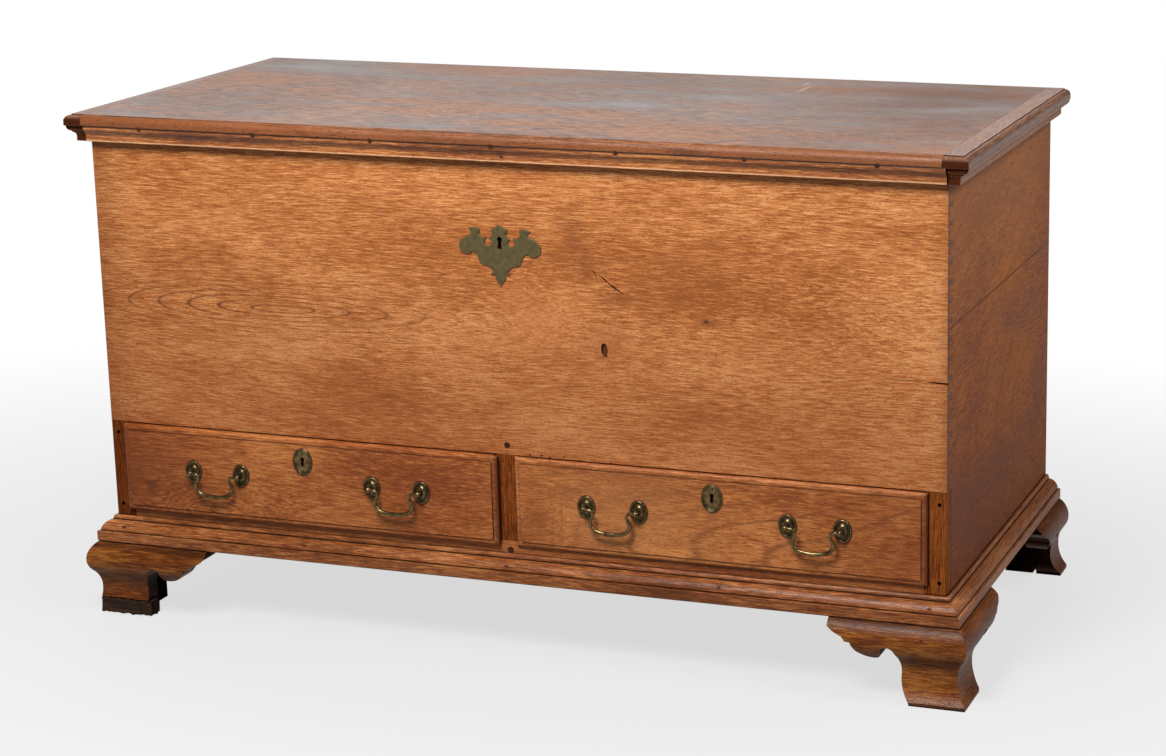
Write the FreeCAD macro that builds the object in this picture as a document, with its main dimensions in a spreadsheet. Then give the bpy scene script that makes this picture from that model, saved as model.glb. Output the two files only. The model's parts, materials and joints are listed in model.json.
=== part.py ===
import FreeCAD, Part
import math
import operator
import os

import Sketcher

# A mule chest: a deep chest with a hinged lid over two drawers, on ogee bracket feet.
# Millimetres. X runs to the right, Z up from the floor and Y from the front to the back.
# In the lengths below X is counted from the middle of the case and Y from the face of
# its front board; `place` then puts the origin under the middle of the whole chest.

SIZES = [
    # the case
    ("case_width", 1240),
    ("case_depth", 576),
    ("case_height", 606),
    ("side_thickness", 20),
    ("front_thickness", 22),
    ("back_thickness", 16),
    ("back_rebate", 10),
    ("back_joint_height", 330),
    ("side_joint_height", 449.5),
    ("floor_thickness", 16),
    ("floor_housing", 6),
    ("lap_thickness", 6),
    ("pin_width", 9),
    ("dovetail_flare", 2.5),
    # the drawer openings
    ("rail_height", 53.5),
    ("opening_height", 123.5),
    ("stile_width", 30),
    ("muntin_width", 34),
    ("muntin_lap", 24),
    ("muntin_lap_thickness", 11),
    ("runner_width", 34),
    ("runner_thickness", 20),
    ("guide_height", 16),
    ("guide_clearance", 1),
    ("peg_radius", 4.4),
    # the lid
    ("lid_thickness", 16),
    ("lid_gap", 0.3),
    ("lid_front_reach", 19.5),
    ("lid_side_reach", 31),
    ("lid_back_set", 10),
    ("nosing_width", 8.6),
    ("nosing_drop", 9),
    ("nosing_step", 1.2),
    ("lid_joint_depth", 330),
    ("left_cleat_width", 18),
    ("right_cleat_width", 26),
    ("cleat_tongue", 8),
    ("strip_height", 22),
    ("strip_clearance", 1),
    ("front_strip_foot", 12),
    ("side_strip_foot", 17.5),
    ("strip_end_set", 3),
    ("plug_proud", 0.4),
    # the base moulding and the feet
    ("foot_height", 108.5),
    ("base_height", 36),
    ("base_reach", 22.9),
    ("foot_length", 155),
    ("foot_belly", 36),
    ("foot_neck", 21),
    ("foot_toe", 34),
    ("foot_back", 3),
    ("rear_foot_thickness", 20),
    ("rear_foot_set", 2),
    ("rear_foot_length", 120),
    ("block_size", 42),
    ("block_lift", 8),
    # the drawers
    ("drawer_gap", 1.5),
    ("drawer_top_gap", 1.2),
    ("drawer_back_room", 48),
    ("drawer_front_thickness", 22),
    ("lip_overlap", 5.5),
    ("lip_clearance", 0.4),
    ("face_proud", 8),
    ("thumbnail_width", 8.5),
    ("thumbnail_step", 1.8),
    ("thumbnail_round", 4.8),
    ("drawer_side_thickness", 10),
    ("drawer_side_drop", 3),
    ("drawer_lap", 10),
    ("drawer_pin_width", 7),
    ("drawer_bottom_thickness", 8),
    ("drawer_bottom_lift", 7),
    ("groove_depth", 5),
    ("left_drawer_ajar", 3),
    ("left_drawer_shift", 1),
    ("runner_clearance", 0.5),
    # the drawer handles
    ("handle_boring", 76),
    ("handle_height", 223.5),
    ("left_drawer_left_handle", -142.5),
    ("left_drawer_right_handle", 138.5),
    ("right_drawer_left_handle", -147.6),
    ("right_drawer_right_handle", 139.2),
    ("rosette_width", 25.5),
    ("rosette_height", 32),
    ("rosette_thickness", 4),
    ("rosette_dish", 2.4),
    ("post_head_radius", 4.6),
    ("post_neck_radius", 3),
    ("post_stem_radius", 2.6),
    ("post_reach", 11.5),
    ("nut_radius", 7),
    ("nut_thickness", 4),
    ("bail_end_radius", 2),
    ("bail_middle_radius", 3.2),
    ("bail_bend_radius", 6.5),
    ("bail_corner_radius", 10),
    ("bail_clearance", 0.05),
    ("bail_drop", 32),
    ("bail_neck_half_width", 24.5),
    ("bail_belly_half_width", 28.5),
    # the escutcheons and the locks
    ("escutcheon_thickness", 1.6),
    ("escutcheon_height", 563.5),
    ("escutcheon_half_width", 59),
    ("oval_width", 30),
    ("oval_height", 39),
    ("oval_thickness", 1.4),
    ("oval_rim", 2.2),
    ("oval_rim_rise", 1.1),
    ("drawer_lock_offset", -4.6),
    ("drawer_key_height", 252),
    ("keyhole_radius", 3.5),
    ("keyhole_slot", 4.6),
    ("keyhole_length", 18),
    ("drawer_keyhole_radius", 2.6),
    ("drawer_keyhole_slot", 3.4),
    ("drawer_keyhole_length", 14),
    ("chest_lock_width", 90),
    ("chest_lock_height", 154),
    ("chest_lock_thickness", 13),
    ("lock_wall", 3),
    ("chest_bolt_height", 8),
    ("chest_bolt_length", 22),
    ("chest_bolt_travel", 12),
    ("bolt_thickness", 4),
    ("bolt_clearance", 0.4),
    ("keeper_thickness", 3),
    ("keeper_drop", 24),
    ("keeper_width", 8),
    ("drawer_lock_width", 60),
    ("drawer_lock_height", 46),
    ("drawer_lock_thickness", 10),
    ("drawer_bolt_width", 16),
    ("drawer_bolt_travel", 8),
    # the hinges and the nails
    ("hinge_place", 400),
    ("hinge_width", 40),
    ("hinge_plate", 3),
    ("hinge_barrel_radius", 4.8),
    ("hinge_pin_radius", 2.5),
    ("hinge_running_gap", 0.05),
    ("hinge_side_gap", 0.3),
    ("strap_length", 240),
    ("leaf_length", 150),
    ("nail_radius", 1.5),
    ("nail_head_radius", 3),
    ("nail_length", 22),
]

# How many of each thing there are along an edge.
CASE_TAILS = 17
DRAWER_TAILS = 3
LID_PLUGS = 7
STILE_NAIL_HEIGHTS = (0.12, 0.88)

document = FreeCAD.newDocument("mule_chest")
sheet = document.addObject("Spreadsheet::Sheet", "sizes")
nodes = []


class Size:
    """A length that carries the sheet expression it was worked out from."""

    def __init__(self, value, text):
        self.value = float(value)
        self.text = text

    def __add__(self, other):
        return join(self, "+", other)

    def __radd__(self, other):
        return join(other, "+", self)

    def __sub__(self, other):
        return join(self, "-", other)

    def __rsub__(self, other):
        return join(other, "-", self)

    def __mul__(self, other):
        return join(self, "*", other)

    def __rmul__(self, other):
        return join(other, "*", self)

    def __truediv__(self, other):
        return join(self, "/", other)

    def __neg__(self):
        return join(0, "-", self)


def as_size(number):
    return number if isinstance(number, Size) else Size(number, "%.6f" % number)


def join(first, sign, second):
    first, second = as_size(first), as_size(second)
    work = {"+": operator.add, "-": operator.sub, "*": operator.mul, "/": operator.truediv}[sign]
    return Size(work(first.value, second.value), "(%s %s %s)" % (first.text, sign, second.text))


def root(size):
    return Size(math.sqrt(size.value), "sqrt(%s)" % size.text)


def fill_sheet():
    for row, (name, value) in enumerate(SIZES, 1):
        sheet.set("A%d" % row, name.replace("_", " "))
        sheet.set("B%d" % row, "%g" % value)
        sheet.setAlias("B%d" % row, name)
    document.recompute()
    return {name: Size(value, "sizes.%s" % name) for name, value in SIZES}


size = fill_sheet()


def bind(thing, name, length):
    length = as_size(length)
    thing.setExpression(name, length.text)


def place(thing, x, y, z):
    """Moves a thing to a point counted from the case's front, in the frame of the origin."""
    bind(thing, "Placement.Base.x", x)
    bind(thing, "Placement.Base.y", as_size(y) - middle_depth)
    bind(thing, "Placement.Base.z", z)


def keep(thing, name):
    """Names a finished sub-part; its Label becomes its file's name."""
    thing.Label = name
    nodes.append(thing)
    return thing


# ---------------------------------------------------------------- solids

def box(x, y, z):
    """A block from three pairs of limits."""
    block = document.addObject("Part::Box", "block")
    bind(block, "Length", x[1] - as_size(x[0]))
    bind(block, "Width", y[1] - as_size(y[0]))
    bind(block, "Height", z[1] - as_size(z[0]))
    place(block, x[0], y[0], z[0])
    return block


def rod(x, y, z, radius, length, way):
    """A round bar that starts at a point and runs along +X, -Y or +Z."""
    bar = document.addObject("Part::Cylinder", "bar")
    bind(bar, "Radius", radius)
    bind(bar, "Height", length)
    turn = {"x": (FreeCAD.Vector(0, 1, 0), 90), "-y": (FreeCAD.Vector(1, 0, 0), 90),
            "z": (FreeCAD.Vector(0, 0, 1), 0)}[way]
    bar.Placement = FreeCAD.Placement(FreeCAD.Vector(), FreeCAD.Rotation(*turn))
    place(bar, x, y, z)
    return bar


def ball(x, y, z, radius):
    sphere = document.addObject("Part::Sphere", "ball")
    bind(sphere, "Radius", radius)
    place(sphere, x, y, z)
    return sphere


def fuse(*pieces):
    joined = document.addObject("Part::MultiFuse", "joined")
    joined.Shapes = list(pieces)
    return joined


def cut(stock, *waste):
    """Takes one or more solids away from another."""
    result = document.addObject("Part::Cut", "cut")
    result.Base = stock
    result.Tool = waste[0] if len(waste) == 1 else fuse(*waste)
    return result


def common(first, second):
    result = document.addObject("Part::Common", "common")
    result.Base = first
    result.Tool = second
    return result


def group(*pieces):
    """Separate solids that share one sub-part."""
    result = document.addObject("Part::Compound", "group")
    result.Links = list(pieces)
    return result


def mirrored(thing):
    """The same piece on the other side of the chest's middle."""
    result = document.addObject("Part::Mirroring", "mirrored")
    result.Source = thing
    result.Normal = FreeCAD.Vector(1, 0, 0)
    return result


# ---------------------------------------------------------------- sketched solids

def new_body(x=0, y=0, z=0, turn=0):
    body = document.addObject("PartDesign::Body", "body")
    body.Placement = FreeCAD.Placement(FreeCAD.Vector(), FreeCAD.Rotation(FreeCAD.Vector(0, 0, 1), turn))
    place(body, x, y, z)
    return body


def add_edge(sketch, start, end, bulge):
    """A straight edge, or an arc whose height is `bulge` times half its chord, to the left."""
    a = FreeCAD.Vector(start[0].value, start[1].value, 0)
    b = FreeCAD.Vector(end[0].value, end[1].value, 0)
    if not bulge:
        return sketch.addGeometry(Part.LineSegment(a, b), False)
    half = (b - a) / 2
    crown = a + half + FreeCAD.Vector(-half.y, half.x, 0) * bulge
    return sketch.addGeometry(Part.Arc(a, crown, b), False)


def end_numbers(sketch, edge, start):
    """The sketcher's numbers for an edge's first and last ends; an arc may have been turned round."""
    here = FreeCAD.Vector(start[0].value, start[1].value, 0)
    return (1, 2) if sketch.getPoint(edge, 1).distanceToPoint(here) < 1e-4 else (2, 1)


def constrain(sketch, kind, arguments, length):
    index = sketch.addConstraint(Sketcher.Constraint(kind, *arguments, length.value))
    sketch.setExpression("Constraints[%d]" % index, length.text)


def add_outline(sketch, path, closed=True):
    """Draws (u, v) or (u, v, bulge) steps as one outline and ties every corner to the sheet."""
    corners = [(as_size(step[0]), as_size(step[1])) for step in path]
    bulges = [step[2] if len(step) > 2 else 0 for step in path]
    count = len(path)
    edges = []
    for index in range(count if closed else count - 1):
        following = (index + 1) % count
        edge = add_edge(sketch, corners[index], corners[following], as_size(bulges[following]).value)
        edges.append((edge, end_numbers(sketch, edge, corners[index])))
    for index, (edge, ends) in enumerate(edges):
        corner, following = corners[index], corners[(index + 1) % count]
        if index or closed:
            before = edges[index - 1]
            sketch.addConstraint(Sketcher.Constraint("Coincident", before[0], before[1][1], edge, ends[0]))
        pin_point(sketch, edge, ends[0], corner)
        bulge = as_size(bulges[(index + 1) % count])
        if bulge.value:
            across, up = following[0] - corner[0], following[1] - corner[1]
            half_chord = root(across * across + up * up) / 2
            steepness = bulge if bulge.value > 0 else -bulge
            constrain(sketch, "Radius", (edge,), half_chord * (bulge * bulge + 1) / (steepness * 2))
    if not closed:
        pin_point(sketch, edges[-1][0], edges[-1][1][1], corners[-1])


def pin_point(sketch, edge, end, point):
    constrain(sketch, "DistanceX", (-1, 1, edge, end), point[0])
    constrain(sketch, "DistanceY", (-1, 1, edge, end), point[1])


def add_circle(sketch, u, v, radius):
    u, v, radius = as_size(u), as_size(v), as_size(radius)
    centre = FreeCAD.Vector(u.value, v.value, 0)
    edge = sketch.addGeometry(Part.Circle(centre, FreeCAD.Vector(0, 0, 1), radius.value), False)
    pin_point(sketch, edge, 3, (u, v))
    constrain(sketch, "Radius", (edge,), radius)


def empty_sketch(body, plane, offset=0):
    """A sketch on one of the body's own planes, XY, XZ or YZ, or at a distance in front of it."""
    sketch = body.newObject("Sketcher::SketchObject", "outline")
    origin_plane = [item for item in body.Origin.OriginFeatures if item.Role == plane + "_Plane"][0]
    sketch.AttachmentSupport = [(origin_plane, "")]
    sketch.MapMode = "FlatFace"
    bind(sketch, "AttachmentOffset.Base.z", offset)
    document.recompute()
    return sketch


def add_sketch(body, plane, *paths):
    sketch = empty_sketch(body, plane)
    for path in paths:
        add_outline(sketch, path)
    return sketch


def pad(body, sketch, length, middle=False, back=False):
    feature = body.newObject("PartDesign::Pad", "pad")
    feature.Profile = sketch
    feature.Midplane = middle
    feature.Reversed = back
    bind(feature, "Length", length)
    document.recompute()
    return feature


def pocket_through(body, sketch):
    """Cuts a sketch right through the body, both ways."""
    before = body.Shape.Volume
    feature = body.newObject("PartDesign::Pocket", "pocket")
    feature.Profile = sketch
    feature.Type = "ThroughAll"
    feature.Midplane = True
    document.recompute()
    if not body.Shape.Volume < before:
        raise RuntimeError("a pocket cut nothing in " + body.Label)
    return feature


# ---------------------------------------------------------------- levels and faces

middle_depth = (size["case_depth"] + size["hinge_barrel_radius"] * 2 + size["hinge_running_gap"]
                - size["foot_belly"]) / 2
half_width = size["case_width"] / 2
inner_half_width = half_width - size["side_thickness"]
case_bottom = size["foot_height"]
case_top = case_bottom + size["case_height"]
rail_top = case_bottom + size["rail_height"]
opening_top = rail_top + size["opening_height"]
front_back = size["front_thickness"]
back_face = size["case_depth"] - size["back_thickness"]
stile_edge = half_width - size["stile_width"]
muntin_edge = size["muntin_width"] / 2
lid_bottom = case_top + size["lid_gap"]
lid_top = lid_bottom + size["lid_thickness"]
lid_back = size["case_depth"] - size["lid_back_set"]


def tails(x, tip, base, z, count, pin, flare):
    """Dovetails between two heights: wide at the tip, narrow at the base, one per pitch."""
    pitch = (z[1] - z[0]) / count
    wedges = []
    for index in range(count):
        wedge = document.addObject("Part::Wedge", "tail")
        low = pitch * index + pin / 2
        high = pitch * (index + 1) - pin / 2
        for name, length in (("Xmin", 0), ("X2min", 0), ("Ymin", 0), ("Xmax", x[1] - as_size(x[0])),
                             ("X2max", x[1] - as_size(x[0])), ("Ymax", base - as_size(tip)),
                             ("Zmin", low - flare), ("Zmax", high + flare), ("Z2min", low), ("Z2max", high)):
            bind(wedge, name, length)
        place(wedge, x[0], tip, z[0])
        wedges.append(wedge)
    return wedges


# ---------------------------------------------------------------- the case

def case_tails():
    """The left side's dovetails, which stop short of the front board's face."""
    return tails((-half_width, -inner_half_width), size["lap_thickness"], front_back,
                 (opening_top, case_top), CASE_TAILS, size["pin_width"], size["dovetail_flare"])


def front_board():
    """One wide board, with half-blind sockets at both ends for the sides' tails."""
    board = box((-half_width, half_width), (0, front_back), (opening_top, case_top))
    left = case_tails()
    right = [mirrored(tail) for tail in left]
    lap = box((-muntin_edge, muntin_edge), (front_back - size["muntin_lap_thickness"], front_back),
              (opening_top, opening_top + size["muntin_lap"]))
    keep(cut(board, *left, *right, lap, chest_keyhole(0, front_back), peg(opening_peg_height),
             *bolt_mortises()), "front_board")


def sides():
    """Each side is two boards edge to edge, rebated for the back and housed for the floor."""
    joint = case_bottom + size["side_joint_height"]
    stock = fuse(box((-half_width, -inner_half_width), (front_back, size["case_depth"]),
                     (case_bottom, case_top)), *case_tails())
    rebate = box((-half_width + size["back_rebate"], -inner_half_width), (back_face, size["case_depth"]),
                 (case_bottom, case_top))
    left = cut(stock, rebate, floor_board())
    reach = (size["lap_thickness"], size["case_depth"])
    across = (-half_width, -inner_half_width)
    lower = common(left, box(across, reach, (case_bottom, joint)))
    upper = common(left, box(across, reach, (joint, case_top)))
    boards = group(lower, upper)
    keep(boards, "left_side")
    keep(mirrored(boards), "right_side")


def floor_board():
    """The chest's floor, let into the sides just above the drawers."""
    reach = inner_half_width + size["floor_housing"]
    return box((-reach, reach), (front_back, back_face), (floor_bottom, floor_bottom + size["floor_thickness"]))


def back_boards():
    """Two boards nailed into the sides' rebates, the upper one notched for the hinge straps."""
    reach = half_width - size["back_rebate"]
    joint = case_bottom + size["back_joint_height"]
    depth = (back_face, size["case_depth"])
    lower = box((-reach, reach), depth, (case_bottom, joint))
    upper = box((-reach, reach), depth, (joint, case_top))
    notch_half = size["hinge_width"] / 2 + size["hinge_side_gap"]
    notches = []
    for side in (-1, 1):
        centre = size["hinge_place"] * side
        notches.append(box((centre - notch_half, centre + notch_half), depth,
                           (hinge_height - size["hinge_barrel_radius"] - size["hinge_side_gap"], case_top)))
    keep(group(lower, cut(upper, *notches)), "back_boards")


def front_frame():
    """The stiles, the muntin and the rail round the two drawer openings."""
    stile = box((-half_width, -stile_edge), (0, front_back), (case_bottom, opening_top))
    keep(stile, "left_stile")
    keep(mirrored(stile), "right_stile")
    lap = (front_back - size["muntin_lap_thickness"], front_back)
    across = (-muntin_edge, muntin_edge)
    tongue = box(across, lap, (rail_top - size["muntin_lap"], opening_top + size["muntin_lap"]))
    post = box(across, (0, front_back), (rail_top, opening_top))
    keep(cut(fuse(tongue, post), peg(opening_peg_height), peg(rail_peg_height)), "muntin")
    housing = box(across, lap, (rail_top - size["muntin_lap"], rail_top))
    rail = box((-stile_edge, stile_edge), (0, front_back), (case_bottom, rail_top))
    keep(cut(rail, housing, peg(rail_peg_height)), "bottom_rail")


def peg(height):
    return rod(0, front_back, height, size["peg_radius"], size["front_thickness"], "-y")


def runners():
    """Bearers under the drawer sides, and the strips on them that guide the drawers."""
    depth = (front_back, back_face)
    low = (rail_top - size["runner_thickness"], rail_top)
    side = box((-inner_half_width, -inner_half_width + size["runner_width"]), depth, low)
    centre = box((-size["runner_width"], size["runner_width"]), depth, low)
    keep(group(side, centre, mirrored(side)), "drawer_runners")
    high = (rail_top, rail_top + size["guide_height"])
    guide = box((-inner_half_width, -stile_edge - size["guide_clearance"]), depth, high)
    centre_guide = muntin_edge - size["guide_clearance"]
    middle = box((-centre_guide, centre_guide), depth, high)
    keep(group(guide, middle, mirrored(guide)), "drawer_guides")


def case_pegs():
    keep(group(peg(opening_peg_height), peg(rail_peg_height)), "muntin_pegs")


# ---------------------------------------------------------------- base moulding and feet

def base_section(sign):
    """The base moulding: a bead, a quirk, a broad ovolo, a step and a square fillet."""
    reach, height = size["base_reach"], size["base_height"]
    steps = [(0, 0), (0.94, 0), (1, 0.05), (1, 0.41), (0.84, 0.43), (0.28, 0.82, -0.32 * sign),
             (0.21, 0.82), (0.1, 1, -0.41 * sign), (0, 1)]
    return [(reach * step[0] * sign, case_bottom + height * step[1]) + step[2:] for step in steps]


def base_mouldings():
    """Three lengths, mitred at the front corners and cut square at the back."""
    waste = size["base_reach"] + 5
    front = new_body()
    pad(front, add_sketch(front, "YZ", base_section(-1)), size["case_width"] + size["base_reach"] * 2,
        middle=True)
    triangles = [[(half_width * side, 0), ((half_width + waste) * side, -waste), ((half_width + waste) * side, 0)]
                 for side in (-1, 1)]
    pocket_through(front, add_sketch(front, "XY", *triangles))
    keep(front, "base_moulding_front")
    side = new_body(x=half_width, y=size["case_depth"])
    pad(side, add_sketch(side, "XZ", base_section(1)), size["case_depth"] + size["base_reach"])
    start = -size["case_depth"]
    pocket_through(side, add_sketch(side, "XY", [(0, start), (waste, start - waste), (0, start - waste)]))
    keep(group(mirrored(side), side), "base_moulding_sides")


def ogee_section():
    """A bracket's section: a full belly above, a hollow neck and a toe that turns out."""
    high = size["foot_height"]
    return [(size["foot_back"], 0), (size["foot_back"], high), (-size["base_reach"] * 0.93, high),
            (-size["foot_belly"], high * 0.76, -0.263), (-size["foot_belly"] * 0.767, high * 0.58, -0.205),
            (-size["foot_neck"], high * 0.36, 0.163), (-size["foot_toe"], high * 0.045, 0.2),
            (-size["foot_toe"], 0)]


def scroll():
    """The waste under a bracket: wing, cusp, lobe, round notch and the inside of the leg."""
    long, high = size["foot_length"], size["foot_height"]
    outside = long + 1
    steps = [(1, 0.912), (0.865, 0.806, 0.10), (0.835, 0.747), (0.79, 0.74), (0.626, 0.547, 0.3),
             (0.545, 0.556, 0.15), (0.523, 0.61), (0.525, 0.673), (0.4, 0.64, -0.62),
             (0.354, 0.35, -0.17), (0.277, 0.041, 0.23), (0.271, 0)]
    path = [(outside, -1), (outside, high * 0.912)]
    for step in steps:
        path.append((long * step[0], high * step[1]) + tuple(step[2:]))
    path.append((long * 0.271, -1))
    return path


def bracket(x, y, turn, mitred):
    """An ogee bracket that starts at a corner of the case and runs along its own X."""
    body = new_body(x=x, y=y, turn=turn)
    pad(body, add_sketch(body, "YZ", ogee_section()), size["foot_length"] * 2, middle=True)
    far = -size["foot_length"] - 1
    inner = size["foot_back"] + 1
    if mitred:
        waste = [(far, far), (inner, inner), (far, inner)]
    else:
        waste = [(far, far), (0, far), (0, inner), (far, inner)]
    pocket_through(body, add_sketch(body, "XY", waste))
    pocket_through(body, add_sketch(body, "XZ", scroll()))
    return body


def feet():
    front = bracket(-half_width, 0, 0, True)
    keep(front, "front_left_foot_front")
    keep(mirrored(front), "front_right_foot_front")
    side = bracket(half_width, 0, 90, True)
    keep(side, "front_right_foot_side")
    keep(mirrored(side), "front_left_foot_side")
    rear = bracket(-half_width, size["case_depth"], -90, False)
    keep(rear, "rear_left_foot_side")
    keep(mirrored(rear), "rear_right_foot_side")
    back = rear_board()
    keep(group(back, mirrored(back)), "rear_foot_boards")
    foot_blocks()


def rear_board():
    """A plain board behind a rear foot, cut away on the slant."""
    inner = -half_width + size["foot_back"]
    end = inner + size["rear_foot_length"]
    high = size["foot_height"]
    body = new_body(y=size["case_depth"] - size["rear_foot_set"])
    outline = [(inner, 0), (inner + size["block_size"], 0), (inner + size["block_size"] * 1.2, high * 0.5, 0.1),
               (end, high * 0.85), (end, high), (inner, high)]
    pad(body, add_sketch(body, "XZ", outline), size["rear_foot_thickness"])
    return body


def foot_blocks():
    """A square glue block stands in the corner behind each pair of brackets."""
    inner = half_width - size["foot_back"]
    block = size["block_size"]
    rear = size["case_depth"] - size["rear_foot_set"] - size["rear_foot_thickness"]
    high = (size["block_lift"], size["foot_height"])
    left = [box((-inner, -inner + block), (size["foot_back"], size["foot_back"] + block), high),
            box((-inner, -inner + block), (rear - block, rear), high)]
    keep(group(*left, *[mirrored(piece) for piece in left]), "foot_blocks")


# ---------------------------------------------------------------- the lid

def nosing(reach, back, sign):
    """The lid's section from a moulded edge to a plain line behind it."""
    arris = reach - size["nosing_width"]
    return [(back, lid_bottom), (back, lid_top), (arris * sign, lid_top),
            (arris * sign, lid_top - size["nosing_step"]),
            (reach * sign, lid_top - size["nosing_drop"], 0.41 * sign),
            (reach * sign, lid_bottom + 1), ((reach - 1) * sign, lid_bottom)]


def lid_boards():
    """Two boards with a moulded front edge, tongued into the cleats at their ends."""
    left = -(half_width + size["lid_side_reach"] - size["nosing_width"] - size["left_cleat_width"])
    right = half_width + size["lid_side_reach"] - size["nosing_width"] - size["right_cleat_width"]
    joint = size["lid_joint_depth"]
    body = new_body()
    pad(body, add_sketch(body, "YZ", nosing(size["lid_front_reach"], lid_back, -1)),
        size["case_width"] * 2, middle=True)
    third = size["lid_thickness"] / 3
    deep = (-size["lid_front_reach"], lid_back)
    tongues = box((left - size["cleat_tongue"], right + size["cleat_tongue"]),
                  (size["lid_front_reach"], lid_back - 10), (lid_bottom + third, lid_top - third))
    stock = fuse(common(body, box((left, right), deep, (lid_bottom, lid_top))), tongues)
    whole = (left - size["cleat_tongue"], right + size["cleat_tongue"])
    front = common(stock, box(whole, (deep[0], joint), (lid_bottom, lid_top)))
    rear = common(stock, box(whole, (joint, deep[1]), (lid_bottom, lid_top)))
    keep(group(cut(front, keeper_plate()), rear), "lid_boards")
    cleats(left, right, body, tongues)


def cleats(left, right, front_edge, tongues):
    """The cross-pieces at the lid's ends, moulded along the end and across their fronts."""
    for name, joint, sign in (("lid_left_cleat", left, -1), ("lid_right_cleat", right, 1)):
        body = new_body(y=lid_back)
        section = nosing(half_width + size["lid_side_reach"], joint, sign)
        pad(body, add_sketch(body, "XZ", section), lid_back + size["lid_front_reach"])
        keep(cut(common(body, front_edge), tongues), name)


def strip_section(top, foot, back, sign):
    """The moulding under the lid: an ovolo, a small step, a hollow and a plain foot."""
    depth = top - foot
    high = size["strip_height"]
    steps = [(1, 0), (1, -0.06), (0.45, -0.36, 0.35 * sign), (0.36, -0.44), (0, -0.66, 0.3 * -sign), (0, -1)]
    path = [(back, lid_bottom - high), (back, lid_bottom)]
    for step in steps:
        path.append(((foot + depth * step[0]) * sign, lid_bottom + high * step[1]) + tuple(step[2:]))
    return path


def lid_mouldings():
    """A strip under the front edge between two side strips whose ends carry the profile on."""
    inner = half_width + size["strip_clearance"]
    front_top = size["lid_front_reach"] - 1
    front = new_body()
    pad(front, add_sketch(front, "YZ", strip_section(
        front_top, size["front_strip_foot"], -size["strip_clearance"], -1)), inner * 2, middle=True)
    keep(front, "lid_front_moulding")
    returned = new_body()
    pad(returned, add_sketch(returned, "YZ", strip_section(
        front_top - size["strip_end_set"], size["front_strip_foot"] - size["strip_end_set"], lid_back, -1)),
        size["case_width"] * 2, middle=True)
    side = new_body(y=lid_back)
    pad(side, add_sketch(side, "XZ", strip_section(
        half_width + size["lid_side_reach"] - 1, half_width + size["side_strip_foot"], inner, 1)),
        lid_back + size["lid_front_reach"])
    right = common(side, returned)
    keep(group(mirrored(right), right), "lid_side_mouldings")


def lid_plugs():
    """Wooden plugs over the fixings, along the joint of lid and front moulding."""
    plugs = []
    spacing = size["case_width"] / LID_PLUGS
    for index in range(LID_PLUGS):
        x = spacing * (index + 0.5) - half_width
        plugs.append(rod(x, -size["strip_clearance"], lid_bottom, size["nail_head_radius"],
                         size["lid_front_reach"] - size["strip_clearance"] + size["plug_proud"], "-y"))
    keep(group(*plugs), "lid_moulding_plugs")


# ---------------------------------------------------------------- hinges

hinge_depth = size["case_depth"] + size["hinge_barrel_radius"] + size["hinge_running_gap"]
hinge_height = case_top - size["hinge_plate"] / 2


def hinges():
    """Strap hinges: the strap under the lid, the leaf down the back, a pin through both."""
    half = size["hinge_width"] / 2
    middle = half / 3
    barrel, gap = size["hinge_barrel_radius"], size["hinge_side_gap"]
    centre = -size["hinge_place"]
    under_lid = (lid_bottom - size["hinge_plate"], lid_bottom)
    strap = fuse(box((centre - half, centre + half), (lid_back - size["strap_length"], hinge_depth), under_lid),
                 rod(centre - half, hinge_depth, hinge_height, barrel, size["hinge_width"], "x"))
    clear = box((centre - middle - gap, centre + middle + gap),
                (size["case_depth"] - barrel, hinge_depth + barrel * 2),
                (hinge_height - barrel * 2, lid_bottom + barrel))
    bore = rod(centre - half - 1, hinge_depth, hinge_height, size["hinge_pin_radius"] + size["hinge_running_gap"],
               size["hinge_width"] + 2, "x")
    left_strap = cut(strap, clear, bore)
    plate_top = hinge_height - barrel - gap
    behind = (size["case_depth"], size["case_depth"] + size["hinge_plate"])
    leaf = fuse(box((centre - half, centre + half), behind, (plate_top - size["leaf_length"], plate_top)),
                box((centre - middle, centre + middle), behind, (plate_top, hinge_height)),
                rod(centre - middle, hinge_depth, hinge_height, barrel, middle * 2, "x"))
    pin_hole = rod(centre - half - 1, hinge_depth, hinge_height, size["hinge_pin_radius"],
                   size["hinge_width"] + 2, "x")
    left_leaf = cut(leaf, pin_hole)
    pin = rod(centre - half, hinge_depth, hinge_height, size["hinge_pin_radius"], size["hinge_width"], "x")
    keep(group(left_strap, mirrored(left_strap)), "hinge_straps")
    keep(group(left_leaf, mirrored(left_leaf)), "hinge_leaves")
    keep(group(pin, mirrored(pin)), "hinge_pins")


# ---------------------------------------------------------------- chest lock and escutcheon

def keyhole(x, height, front, depth, radius, slot, length):
    """A round hole over a narrower slot that ends in a round foot."""
    straight = length - radius * 2
    back = front + as_size(depth)
    return fuse(rod(x, back, height + straight / 2, radius, depth, "-y"),
                box((x - slot / 2, x + slot / 2), (front, back), (height - straight / 2, height + straight / 2)),
                rod(x, back, height - straight / 2, radius * 0.9, depth, "-y"))


key_height = size["escutcheon_height"] + 17


def chest_keyhole(front, depth):
    return keyhole(as_size(0), key_height, front, depth, size["keyhole_radius"], size["keyhole_slot"],
                   size["keyhole_length"])


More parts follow.
